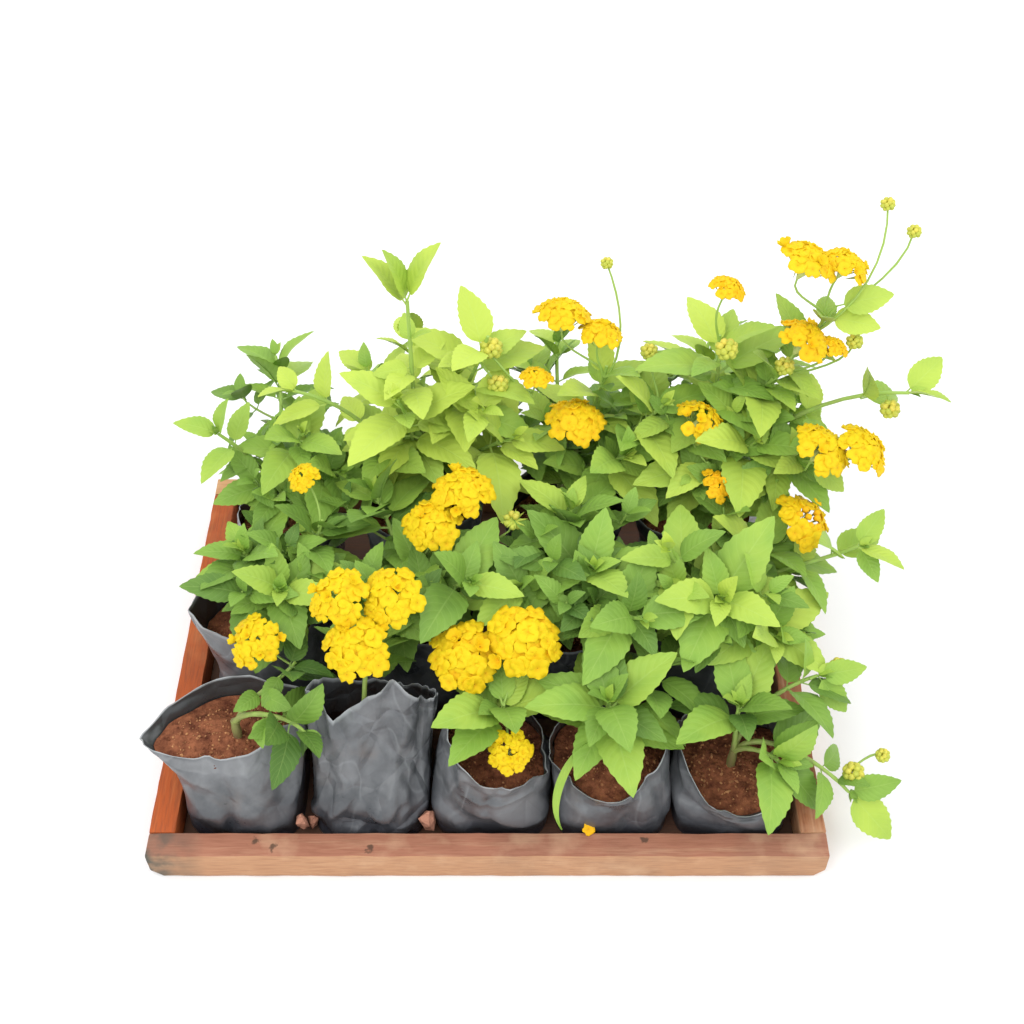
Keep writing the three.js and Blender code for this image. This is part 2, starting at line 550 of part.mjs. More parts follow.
const pairsOf = ({ habit }) => HABITS[habit ?? 'bushy'];

// One leaf of a pair: how it is turned, how far it opens, how long it is and how much it droops.
function leafPlan(shoot, index, pair, side) {
  const [, size, open] = pairsOf(shoot)[pair];
  return {
    turn: shoot.turn + 90 * pair + 180 * side + 12 * spread(index, pair, side, 1),
    open: open + 9 * spread(index, pair, side, 2),
    length: shoot.leaf * size * (1 + 0.1 * spread(index, pair, side, 3)),
    bend: LEAF.droop * (0.75 + 0.5 * chance(index, pair, side, 4)),
  };
}

// Ways to turn a leaf that would hit something: about the stem, away from it, and its size.
const SWINGS = [0, 14, -14, 28, -28, 42, -42];
const LIFTS = [[0, 1], [-14, 0.94], [16, 0.88], [-26, 0.78], [8, 0.66]];

function growLeaf(node, stem, share, plan) {
  const { at, heading } = onStem(stem, share);
  for (const [lift, size] of LIFTS) {
    for (const swing of SWINGS) {
      const axes = leafAxes(heading, degToRad(plan.turn + swing), degToRad(plan.open + lift));
      const blade = leafSolid(at, axes, plan.length * size, plan.bend, LEAF.neck);
      if (!crossesNothing(node, blade)) continue;
      const leaf = leafSolid(at, axes, plan.length * size, plan.bend);
      if (isClear(node, leaf)) return leaf;
    }
  }
  return null;
}

// ---------------------------------------------------------------- flower heads and buds
// A head faces up and away from the middle of the planting.
const headAxis = (at) => new THREE.Vector3(at[0] / 420, at[1] / 300 - 0.25, 1).normalize();

// Two directions square to an axis.
function squareTo(axis) {
  const e1 = new THREE.Vector3(1, 0, 0).addScaledVector(axis, -axis.x).normalize();
  return [e1, new THREE.Vector3().crossVectors(axis, e1)];
}

// A domed head: a ring of four-lobed florets round a top one, over a cone that ends in a flat seat.
// Lobes stand out, and the notches between them are deep. One floret reaches towards the place
// named. A ring's points are given as a share of the half width out, a share of a floret's sector
// round, and a share of the half width up.
function headSolid({ at, width }, towards) {
  const half = width / 2;
  const axis = headAxis(at);
  const [e1, e2] = squareTo(axis);
  const count = HEAD.florets.find(([upTo]) => width < upTo)[1];
  const aside = vector(towards).sub(vector(at));
  const first = Math.atan2(aside.dot(e2), aside.dot(e1)) + HEAD.reach / count;
  const points = [];
  const spot = (out, angle, up) => points.push(vector(at).addScaledVector(e1, half * out * Math.cos(angle))
    .addScaledVector(e2, half * out * Math.sin(angle)).addScaledVector(axis, half * up)) - 1;
  const ring = (out, round, up, sway = 0) => Array.from({ length: count }, (_, i) => (
    spot(out, first + (2 * Math.PI * (i + round)) / count, up + (i % 2 ? sway : -sway))));
  const { sway } = HEAD;
  const top = spot(0, 0, 0.4);
  const topLobe = ring(0.36, -0.5, 0.47);
  const topNotch = ring(0.22, 0, 0.28);
  const throat = ring(0.66, 0, 0.18, sway);
  const inLeft = ring(0.54, -0.26, 0.34, sway);
  const inRight = ring(0.54, 0.26, 0.34, sway);
  const valley = ring(0.7, 0.5, -0.02);
  const outLeft = ring(1, -0.27, 0.06, sway);
  const outNotch = ring(0.87, 0, 0, sway);
  const outRight = ring(1, 0.27, 0.06, sway);
  const under = ring(0.56, 0, -0.3);
  const foot = ring(0.16, 0, -2 * HEAD.seat);
  const seat = spot(0, 0, -2 * HEAD.seat);
  const triangles = [];
  for (let i = 0; i < count; i++) {
    const before = (i + count - 1) % count;
    const after = (i + 1) % count;
    triangles.push([top, topLobe[i], topNotch[i]], [top, topNotch[i], topLobe[after]]);
    const rim = [
      topNotch[i], inLeft[i], valley[before], outLeft[i], outNotch[i], outRight[i], valley[i], inRight[i],
    ];
    rim.forEach((corner, k) => triangles.push([throat[i], corner, rim[(k + 1) % 8]]));
    const gap = [topNotch[before], inRight[before], valley[before], inLeft[i], topNotch[i]];
    gap.slice(1).forEach((corner, k) => triangles.push([topLobe[i], gap[k], corner]));
    const edge = [valley[before], outLeft[i], outNotch[i], outRight[i], valley[i]];
    edge.slice(1).forEach((corner, k) => triangles.push([under[i], corner, edge[k]]));
    triangles.push([valley[i], under[i], under[after]]);
    triangles.push([under[after], under[i], foot[i]], [under[after], foot[i], foot[after]]);
    triangles.push([foot[after], foot[i], seat]);
  }
  return solidOf(geometryOf(points, triangles));
}

// A closed bud cluster: a small knobbly ball.
function budSolid({ at, width }, index) {
  const geometry = new THREE.IcosahedronGeometry(width / 2, 0);
  const spots = geometry.attributes.position;
  for (let i = 0; i < spots.count; i++) {
    const knob = Math.round(spots.getX(i) + 3 * spots.getY(i) + 7 * spots.getZ(i));
    const grow = 0.92 + 0.16 * chance(index, knob + 500);
    spots.setXYZ(i, spots.getX(i) * grow, spots.getY(i) * grow, spots.getZ(i) * grow * 0.8);
  }
  return solidOf(geometry.translate(...at));
}

// ---------------------------------------------------------------- planting
function makePlanting() {
  const group = new THREE.Group();
  group.add(...makeTray());
  const segments = (bag) => (bag.name.startsWith('front') ? 10 : 8);
  BAGS.forEach((bag) => group.add(makeBag(bag, segments(bag))));
  BAGS.forEach((bag, index) => group.add(makeSoil(bag, index, segments(bag))));

  for (const { node, heads } of HEADS) {
    const domes = heads.map((head, i) => headSolid(head, heads[(i + 1) % heads.length].at));
    const solid = wasm.Manifold.union(domes);
    group.add(meshOf(node, keep(node, solid), material.petal));
  }

  const plants = new Map(BAGS.map((bag) => ['plant_' + bag.name, []]));
  const add = (node, solid) => plants.get(node).push(keep(node, solid));
  BAGS.forEach((bag) => add('plant_' + bag.name, makeTrunk(bag)));

  const shoots = SHOOTS.map((shoot, index) => {
    const node = 'plant_' + shoot.plant;
    const stem = growStem(node, STEM.radius, (bow) => shootCurve(shoot, index, bow));
    add(node, stem.solid);
    return stem;
  });

  // Stalks of one shoot leave it one below the other.
  const stalks = SHOOTS.map(() => 0);
  const growStalk = ({ shoot, from }, seat, axis) => {
    const node = 'plant_' + SHOOTS[shoot].plant;
    const share = from ?? STALK.from - STALK.apart * stalks[shoot]++;
    const stalk = growStem(
      node, STALK.radius, (bow) => stalkCurve(shoots[shoot], share, seat, axis, bow),
    );
    add(node, stalk.solid);
  };
  HEADS.flatMap(({ heads }) => heads).forEach((head) => {
    const axis = headAxis(head.at);
    const seat = vector(head.at).addScaledVector(axis, -HEAD.seat * head.width - 2 * SEAT);
    growStalk(head, seat, axis);
  });
  BUDS.forEach((bud, index) => {
    growStalk(bud, vector(bud.at), UP);
    add('plant_' + SHOOTS[bud.shoot].plant, budSolid(bud, index));
  });

  // A shoot that flowers has no topmost pair.
  const flowering = new Set(HEADS.flatMap(({ heads }) => heads.map(({ shoot }) => shoot)));
  SHOOTS.forEach((shoot, index) => {
    const node = 'plant_' + shoot.plant;
    for (let pair = flowering.has(index) ? 1 : 0; pair < shoot.pairs; pair++) {
      for (const side of [0, 1]) {
        const [share] = pairsOf(shoot)[pair];
        const leaf = growLeaf(node, shoots[index], share, leafPlan(shoot, index, pair, side));
        if (leaf) add(node, leaf);
      }
    }
  });

  for (const [node, parts] of plants) group.add(meshOf(node, wasm.Manifold.union(parts), material.leaf));
  return group;
}

export default makePlanting();
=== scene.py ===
"""Dresses a nursery tray of yellow lantana: worn wooden rails, crumpled film bags, coco peat, stems,
toothed leaves, florets and buds.

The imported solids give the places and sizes. The layout below is the one they were built from, in
millimetres and degrees; meshes are made in metres with +Z up. Each fine piece stands for the solids
that it replaces.
"""

from __future__ import annotations

import logging
from dataclasses import dataclass, field
from enum import Enum
from itertools import accumulate
from math import cos, exp, pi, radians, sin, sqrt, tau
from typing import Callable, Iterator, Sequence

import bmesh
import bpy
from bpy.types import Collection, Material, Mesh, Node, NodeSocket, NodeTree, Object
from mathutils import Matrix, Vector, noise
from mathutils.bvhtree import BVHTree
from mathutils.kdtree import KDTree

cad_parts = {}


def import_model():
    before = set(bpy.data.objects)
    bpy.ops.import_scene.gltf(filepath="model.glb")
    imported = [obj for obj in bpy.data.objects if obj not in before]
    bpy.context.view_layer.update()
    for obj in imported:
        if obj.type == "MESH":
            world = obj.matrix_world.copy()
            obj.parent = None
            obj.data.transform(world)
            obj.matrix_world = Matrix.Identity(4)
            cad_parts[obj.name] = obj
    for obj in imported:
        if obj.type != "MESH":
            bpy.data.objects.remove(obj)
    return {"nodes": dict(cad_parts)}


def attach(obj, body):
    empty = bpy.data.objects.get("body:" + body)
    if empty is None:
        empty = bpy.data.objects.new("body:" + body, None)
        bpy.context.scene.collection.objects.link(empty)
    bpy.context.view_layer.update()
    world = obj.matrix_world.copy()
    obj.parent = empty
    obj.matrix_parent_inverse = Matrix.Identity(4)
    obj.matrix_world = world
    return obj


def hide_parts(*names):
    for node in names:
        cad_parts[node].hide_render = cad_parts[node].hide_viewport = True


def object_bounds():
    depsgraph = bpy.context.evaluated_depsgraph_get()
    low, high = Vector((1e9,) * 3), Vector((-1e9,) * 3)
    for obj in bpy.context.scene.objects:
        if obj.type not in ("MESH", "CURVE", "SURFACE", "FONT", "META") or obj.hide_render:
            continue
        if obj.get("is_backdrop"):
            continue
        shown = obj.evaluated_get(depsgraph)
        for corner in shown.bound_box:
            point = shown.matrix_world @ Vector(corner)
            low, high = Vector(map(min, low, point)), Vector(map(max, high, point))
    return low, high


LOG = logging.getLogger("lantana")
MM = 0.001
UP = Vector((0.0, 0.0, 1.0))
Pair = tuple[float, float]
Triple = tuple[float, float, float]
Colour = Triple
Axes = tuple[Vector, Vector, Vector]

# The sizes that the solids share, in millimetres.
BAG_BASE, BAG_BELLY, BELLY_HEIGHT, RIM_HEIGHT, BAG_FOOT = 36.0, 37.2, 26.0, 79.0, 6.3
# How a bag's section changes with height, in shares of the rim's: a rounded square of this power
# turns round, the mouth's turn sets in, its oval starts, and how much that flattens its long sides.
CORNER, SQUARE, TURNED, OVAL_FROM, OVAL_FLAT = 4.0, (0.2, 0.6), (0.15, 0.55), 0.3, 0.7
SOIL_INSET, MOUND, ROUND_CORE = 1.15, 4.0, 8.0
TRUNK_HEIGHT, STEM_RADIUS, STALK_RADIUS = 16.0, 2.1, 0.95
# How far a leaf starts inside its stem, and how it folds, rises and droops, in shares of its length.
LEAF_SUNK, LEAF_FOLD, LEAF_RISE, LEAF_DROOP = 0.8, 0.2, 0.16, 0.34
# How a shoot leaves its trunk, outwards and up, and arrives at its tip, in shares of its reach.
LEAVE_OUT, LEAVE_UP, ARRIVE = 0.12, 0.42, 0.32
# The share of a shoot that its first stalk leaves at, how much lower the next ones do, and how far
# a head's seat is below its middle: a share of its width, and a gap.
STALK_AT, STALK_NEXT, SEAT, SEAT_GAP = 0.93, 0.03, 0.3, 0.7
# How far from the middle a head would lean by 45 degrees, and how far all of them lean to the front.
HEAD_LEAN, HEAD_FRONT = (420.0, 300.0), 0.25
# Up to these lengths a stem's solid has 2 and 3 straight pieces, and past them 4.
SHORT_STEM, MIDDLE_STEM = 60.0, 110.0
# How far extra leaves may rise above the solids' box, in millimetres.
ROOM_ABOVE = 3.0
# The turn that spreads points evenly over a round, in radians, and how many steps measure a curve.
GOLDEN, FINE = 2.39996, 200
# The start, the two factors and the range of the hash that gives the fixed random numbers.
HASH_START, HASH_STEP, HASH_STIR, HASH_ALL = 2166136261, 16777619, 1540483477, 0xFFFFFFFF
# The seed of the boards' roughness, which would otherwise follow the clock.
GRAIN_SEED = 1
# Which crumb is a long splinter of bark.
SPLINTER = 3


# -------- layout
@dataclass(frozen=True)
class Bag:
    """One film bag: where it stands, its mouth's half width and depth, its direction, how far the
    mouth leans, how high the rim is and how much higher on its +X and +Y sides, and its fill."""

    name: str
    place: Pair
    rim: Pair
    turn: float
    lean: Pair
    high: float
    tip: Pair
    fill: float

    def spot(self, radius: float, angle: float, z: float) -> Vector:
        """Finds where a point of a plain round bag goes on this one.

        Args:
            radius: Distance from the bag's middle line.
            angle: Direction round that line, in radians.
            z: Height on the plain bag, whose rim is at RIM_HEIGHT.

        Returns:
            The point, in millimetres.
        """
        share = z / RIM_HEIGHT
        outer = smooth(radius, ROUND_CORE, BAG_BASE)
        oval = smooth(share, OVAL_FROM, 1.0) * outer
        cosine, sine = cos(angle), sin(angle)
        cornered = (abs(cosine) ** CORNER + abs(sine) ** CORNER) ** (-1.0 / CORNER)
        reach = radius * mix(1.0, cornered, (1.0 - smooth(share, *SQUARE)) * outer)
        x = reach * mix(1.0, self.rim[0] / BAG_BELLY, oval) * cosine
        y = reach * mix(1.0, self.rim[1] / BAG_BELLY, oval) * sine * abs(sine) ** (OVAL_FLAT * oval)
        turn = radians(self.turn) * smooth(share, *TURNED)
        px = x * cos(turn) - y * sin(turn)
        py = x * sin(turn) + y * cos(turn)
        rim = self.high + (self.tip[0] * px + self.tip[1] * py) / BAG_BELLY
        above = (z - self.fill) / (RIM_HEIGHT - self.fill)
        leaning = share * share * outer
        height = mix(self.fill, rim, above) if above > 0.0 else z
        return Vector((
            self.place[0] + px + self.lean[0] * leaning,
            self.place[1] + py + self.lean[1] * leaning,
            BAG_FOOT + height,
        ))

    def over_soil(self, above: float) -> Vector:
        """Finds the point that is so far above the middle of the soil."""
        return self.spot(0.0, 0.0, self.fill) + UP * (MOUND + above)


@dataclass(frozen=True)
class Shoot:
    """One shoot: its plant, its tip and the direction that it points, how many leaf pairs it has,
    its longest leaf, the turn of its topmost pair, and its habit."""

    plant: str
    tip: Triple
    aim: Triple
    pairs: int
    leaf: float
    turn: float
    habit: str = "bushy"


@dataclass(frozen=True)
class Head:
    """One open flower head: its bloom, its shoot, its middle, its width, and the share of the
    shoot's length that its stalk leaves from, where that isn't near the tip."""

    bloom: str
    shoot: int
    at: Triple
    width: float
    leaves_at: float | None = None


@dataclass(frozen=True)
class Bud:
    """One head still in green bud: its shoot, its middle and its width."""

    shoot: int
    at: Triple
    width: float


BAGS = tuple(Bag(*row) for row in (
    ("front_1", (-152, -101), (54, 27), 12, (-7, 8), 70, (3, 6), 60),
    ("front_2", (-74, -101), (39, 11), 3, (6, 10), 104, (-5, 0), 51),
    ("front_3", (2, -101), (33, 34), -20, (4, -6), 69, (-20, 4), 44),
    ("front_4", (77, -101), (37, 36), 5, (-4, -6), 63, (2, 6), 45),
    ("front_5", (152, -101), (40, 36), -25, (2, -4), 49, (-7, 14), 28),
    ("middle_1", (-144, -10), (47, 33), 10, (-2, 0), 80, (-2, 4), 55),
    ("middle_2", (-48, -10), (44, 33), -8, (0, 2), 71, (4, -3), 51),
    ("middle_3", (48, -10), (44, 33), 12, (0, -2), 73, (-3, 3), 51),
    ("middle_4", (144, -10), (46, 33), -6, (2, 2), 71, (5, 2), 51),
    ("back_1", (-144, 80), (37, 33), -8, (4, 0), 62, (-2, 4), 48),
    ("back_2", (-48, 80), (44, 33), 6, (0, 4), 71, (3, 4), 51),
    ("back_3", (48, 80), (45, 33), -10, (3, 4), 75, (3, 6), 51),
    ("back_4", (144, 80), (46, 33), 8, (3, 4), 71, (4, 3), 51),
))
SHOOTS = tuple(Shoot(*row) for row in (
    ("front_1", (-108, -112, 90), (0.5, -0.6, -0.2), 4, 39, 30),
    ("front_1", (-116, -72, 106), (0.4, 0.2, 0.6), 3, 41, 80),
    ("front_2", (-70, -70, 113), (0, 0.1, 1), 3, 37, 40),
    ("front_3", (10, -98, 99), (0, -0.3, 0.8), 4, 52, 10),
    ("front_4", (72, -100, 105), (-0.1, -0.4, 0.8), 4, 56, 20),
    ("front_4", (116, -66, 101), (0.4, 0.2, 0.7), 4, 56, 70),
    ("front_5", (176, -116, 66), (0.4, -0.6, 0.2), 3, 56, 0),
    ("front_5", (222, -122, 40), (0.7, -0.2, -0.6), 4, 39, 40),
    ("front_5", (202, -72, 92), (0.6, 0.1, 0.5), 4, 49, 20),
    ("front_5", (152, -92, 88), (0, 0.1, 0.9), 3, 54, 50),
    ("middle_1", (-104, 12, 141), (0.2, 0, 0.8), 4, 52, 15),
    ("middle_1", (-126, -34, 128), (0.1, -0.6, 0.6), 3, 45, 50),
    ("middle_1", (-152, -6, 131), (-0.3, -0.2, 0.7), 3, 45, 60),
    ("middle_2", (-44, -12, 125), (0, -0.2, 0.9), 3, 47, 35),
    ("middle_2", (-10, -38, 140), (0.3, -0.4, 0.6), 3, 49, 10),
    ("middle_2", (-62, -42, 118), (-0.2, -0.5, 0.6), 3, 49, 70),
    ("middle_2", (-72, 34, 142), (-0.3, 0.3, 0.7), 3, 52, 20),
    ("middle_3", (20, -34, 129), (-0.2, -0.2, 0.8), 3, 47, 50),
    ("middle_3", (64, -24, 135), (0.1, -0.2, 0.8), 3, 52, 10),
    ("middle_3", (52, 18, 144), (0, 0.3, 0.8), 3, 54, 60),
    ("middle_3", (92, -60, 133), (0.4, -0.5, 0.6), 3, 52, 30),
    ("middle_4", (110, -24, 153), (-0.2, -0.3, 0.9), 4, 63, 25),
    ("middle_4", (142, -44, 131), (0, -0.6, 0.6), 3, 58, 70),
    ("middle_4", (176, -52, 106), (0.4, -0.6, 0.4), 3, 54, 15),
    ("middle_4", (230, -6, 137), (0.6, -0.1, 0.6), 4, 38, 30, "arching"),
    ("middle_4", (180, 6, 121), (0.2, -0.1, 0.8), 3, 52, 70),
    ("back_1", (-170, 56, 173), (-0.5, -0.2, 0.8), 3, 32, 40, "arching"),
    ("back_2", (-124, 84, 184), (-0.9, 0, 0.25), 4, 36, 20, "arching"),
    ("back_1", (-120, 66, 163), (0.3, -0.3, 0.8), 3, 47, 70),
    ("back_1", (-97, 56, 138), (0.6, -0.4, 0.4), 3, 49, 10),
    ("back_1", (-150, 164, 143), (-0.2, 0.7, 0.5), 3, 47, 60),
    ("back_2", (-48, 86, 287), (0, 0, 1), 4, 28, 5, "slender"),
    ("back_2", (0, 94, 221), (0.2, -0.1, 0.9), 4, 56, 10),
    ("back_2", (-21, 92, 190), (0.2, 0, 0.9), 4, 54, 80, "starry"),
    ("back_2", (16, 66, 160), (0.5, -0.4, 0.6), 3, 54, 30),
    ("back_2", (-56, 62, 197), (-0.2, -0.3, 0.8), 4, 52, 60),
    ("back_2", (-56, 172, 160), (-0.1, 0.6, 0.6), 2, 49, 0),
    ("back_3", (76, 102, 189), (0.1, 0, 0.9), 4, 45, 45),
    ("back_3", (88, 60, 148), (0.3, -0.5, 0.6), 3, 54, 70),
    ("back_3", (112, 82, 173), (0.3, -0.2, 0.7), 4, 52, 15),
    ("back_3", (46, 174, 156), (0, 0.7, 0.6), 2, 49, 25),
    ("back_4", (146, 102, 215), (-0.1, 0, 1), 4, 56, 20),
    ("back_4", (186, 90, 199), (0.3, -0.1, 0.8), 3, 49, 65),
    ("back_4", (170, 58, 164), (0.2, -0.4, 0.8), 3, 54, 35),
    ("back_4", (216, 104, 237), (0.4, 0, 0.8), 3, 41, 30),
    ("back_4", (262, 66, 199), (0.9, -0.2, 0.1), 4, 40, 10, "arching"),
    ("back_4", (204, 46, 159), (0.4, -0.5, 0.5), 4, 47, 50),
    ("back_4", (140, 50, 153), (-0.1, -0.5, 0.7), 3, 52, 0),
    ("back_4", (152, 170, 150), (0.1, 0.7, 0.5), 3, 49, 40),
))
HEADS = tuple(Head(*row) for row in (
    ("front_left", 1, (-138, -68, 121), 36),
    ("front_trio", 2, (-86, -60, 153), 38),
    ("front_trio", 2, (-55, -58, 152), 40),
    ("front_trio", 2, (-76, -84, 136), 42),
    ("front_pair", 3, (-14, -77, 118), 46),
    ("front_pair", 3, (22, -72, 126), 48),
    ("front_small", 3, (14, -124, 89), 28),
    ("middle_left", 10, (-114, 26, 165), 22),
    ("middle_pair", 13, (-34, -4, 154), 38),
    ("middle_pair", 13, (-16, 13, 165), 40),
    ("middle_right", 25, (198, 14, 137), 40),
    ("back_small", 32, (30, 82, 197), 22),
    ("back_pair", 37, (48, 114, 221), 38),
    ("back_pair", 37, (71, 105, 214), 30),
    ("back_centre", 37, (56, 74, 167), 42, 0.6),
    ("back_peach", 41, (146, 98, 255), 26),
    ("right_orange", 42, (196, 88, 223), 38),
    ("right_orange", 42, (216, 88, 217), 20),
    ("right_top", 44, (194, 106, 269), 40),
    ("right_top", 44, (219, 111, 263), 32),
    ("right_pair", 46, (207, 36, 179), 40),
    ("right_pair", 46, (232, 38, 178), 38),
    ("right_centre", 47, (134, 66, 175), 36),
    ("right_low", 47, (146, 34, 149), 26),
))
BUDS = tuple(Bud(*row) for row in (
    (7, (224, -116, 52), 15),
    (7, (241, -110, 62), 10),
    (8, (216, -66, 92), 14),
    (13, (16, 6, 147), 14),
    (32, (2, 94, 211), 16),
    (32, (6, 82, 191), 15),
    (37, (74, 126, 253), 9),
    (39, (104, 114, 191), 13),
    (41, (148, 84, 219), 16),
    (42, (186, 84, 205), 14),
    (42, (230, 96, 215), 12),
    (44, (240, 126, 297), 10),
    (44, (260, 126, 277), 10),
    (45, (252, 64, 187), 14),
))

# The leaf pairs of a habit: share of the shoot, share of its longest leaf, opening in degrees.
HABITS = {
    "bushy": ((0.985, 0.42, 28), (0.92, 0.78, 52), (0.8, 1, 66), (0.65, 0.96, 76), (0.5, 0.86, 82)),
    "arching": ((0.985, 0.85, 40), (0.84, 1, 62), (0.64, 0.9, 72), (0.44, 0.8, 78)),
    "starry": ((0.985, 0.9, 34), (0.93, 1, 58), (0.8, 1, 70), (0.62, 0.9, 80)),
    "slender": ((0.985, 1, 46), (0.86, 0.75, 36), (0.72, 0.8, 50), (0.55, 1.3, 74)),
}
# Smaller pairs between them that only this dressing has.
BETWEEN = {
    "bushy": (
        (0.86, 0.62, 58), (0.73, 0.8, 72), (0.58, 0.84, 80),
        (0.43, 0.8, 86), (0.33, 0.72, 90), (0.24, 0.6, 84),
    ),
    "arching": ((0.3, 0.8, 84), (0.2, 0.7, 88)),
    "starry": ((0.88, 0.6, 60), (0.7, 0.8, 76), (0.5, 0.8, 84), (0.38, 0.8, 88)),
    "slender": ((0.6, 1.1, 70), (0.46, 1.4, 84), (0.36, 1.5, 88)),
}
# The front plants are sparser, so that their soil and flowers show: how many of those they have.
SPARSE = {"front_1": 0, "front_2": 1, "front_3": 3, "front_4": 4, "front_5": 2}
# Leaves that reach out from some outer shoots: share of the shoot, the leaf as a vector, and how
# far it is rolled, in degrees.
REACHING = {
    0: ((0.7, (-16, -16, 8), 0), (0.45, (2, -24, 4), 20)),
    1: ((0.8, (22, -12, -8), 0), (0.8, (-10, -20, -4), 0), (0.5, (20, -16, 6), 0), (0.5, (-12, -18, 8), 0)),
    7: ((1.0, (29, -20, -25), 0), (1.0, (29, -2, 15), 0), (1.0, (-18, -12, -12), 0)),
    8: ((1.0, (20, -14, -20), 0), (1.0, (30, 2, 6), 0)),
    24: ((1.0, (10, -22, -8), 0),),
    31: (
        (0.84, (-23, 10, 32), 50), (0.86, (18, 8, 38), -48), (0.85, (-10, 6, 36), 60),
        (0.72, (13, -4, 12), -55), (0.71, (-4, 17, 11), 0), (0.62, (-24, -8, 2), 0),
    ),
    44: ((1.0, (36, 4, 7), 0), (0.95, (34, -6, -3), 0)),
    46: ((1.0, (24, -10, -18), 0),),
}
# How much lighter the youngest leaves are than the rest of their shoot's, by its habit.
YOUNG = {"bushy": 0.12, "slender": -0.34, "arching": -0.1, "starry": -0.1}
# The side that the flowers are shown from.
SHOWN = Vector((0.0, -0.61, 0.79))
# The leaf pairs of a short side shoot.
TWIG = ((0.98, 0.5, 34), (0.84, 0.85, 58), (0.55, 1.0, 76))
# How a stem was bowed, sideways and up, and how a leaf was turned and lifted, to clear the rest.
BOWS = (
    (0, 0), (6, 0), (-6, 0), (0, 8), (12, 0), (-12, 0), (9, 9), (-9, 9), (0, 16), (20, 0), (-20, 0),
    (18, 14), (-18, 14), (28, 6), (-28, 6), (0, 28), (0, -8), (12, -8), (-12, -8),
)
SWINGS = (0, 14, -14, 28, -28, 42, -42)
LIFTS = ((0, 1.0), (-14, 0.94), (16, 0.88), (-26, 0.78), (8, 0.66))
# How light each plant's leaves are, from deep green at 0 to lime at 1: partly their own tone and
# partly painted light, the back plants lighter to make up for the shade that their neighbours cast.
LIGHTNESS = {
    "front_1": 0.1, "front_2": 0.28, "front_3": 0.58, "front_4": 0.5, "front_5": 0.46,
    "middle_1": 0.5, "middle_2": 0.46, "middle_3": 0.46, "middle_4": 0.64,
    "back_1": 0.54, "back_2": 0.96, "back_3": 0.64, "back_4": 0.66,
}


# -------- small helpers
def mix(low: float, high: float, share: float) -> float:
    """Blends two numbers."""
    return low + (high - low) * share


def smooth(value: float, low: float, high: float) -> float:
    """Rises smoothly from 0 at low to 1 at high."""
    share = min(max((value - low) / (high - low), 0.0), 1.0)
    return share * share * (3.0 - 2.0 * share)


def chance(*keys: int) -> float:
    """Gives the fixed random number of some whole numbers.

    Args:
        *keys: The whole numbers.

    Returns:
        The number, from 0 to 1.
    """
    value = HASH_START
    for key in keys:
        value = ((value ^ key) * HASH_STEP) & HASH_ALL
        value ^= value >> 13
        value = (value * HASH_STIR) & HASH_ALL
        value ^= value >> 15
    return value / (HASH_ALL + 1)


def spread(*keys: int) -> float:
    """Gives the fixed random number from -1 to 1 of some whole numbers."""
    return 2.0 * chance(*keys) - 1.0


def film_radius(z: float) -> float:
    """Gives a plain bag's radius at a height."""
    return mix(BAG_BASE, BAG_BELLY, smooth(z, 0.0, BELLY_HEIGHT))


def head_axis(at: Sequence[float]) -> Vector:
    """Gives the direction that a flower head faces: up, and away from the planting's middle."""
    return Vector((at[0] / HEAD_LEAN[0], at[1] / HEAD_LEAN[1] - HEAD_FRONT, 1.0)).normalized()


def square_to(axis: Vector) -> tuple[Vector, Vector]:
    """Gives two directions square to an axis and to each other."""
    first = Vector((1.0, 0.0, 0.0))
    first = (first - axis * first.dot(axis)).normalized()
    return first, axis.cross(first)


class Slot(Enum):
    """The material slots."""

    WOOD = "wood"
    FILM = "film"
    SOIL = "soil"
    LEAF = "leaf"
    PETAL = "petal"


class Kind(Enum):
    """The small shapes that are repeated, in the order of their collection."""

    FLORET_A = 0
    FLORET_B = 1
    FLORET_C = 2
    HALF_OPEN = 3
    NUB = 4
    CORE = 5
    STAR = 6


def settle(piece: Object, slot: Slot, nodes: Sequence[str] = ()) -> None:
    """Attaches a finished piece to the root body.

    Args:
        piece: The piece, its place in its mesh.
        slot: The material slot of the piece's finish. Not used.
        nodes: The solids that it stands for.
    """
    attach(piece, "root")
    if nodes:
        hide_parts(*nodes)
    LOG.info("%s: %d faces", piece.name, len(piece.data.polygons))


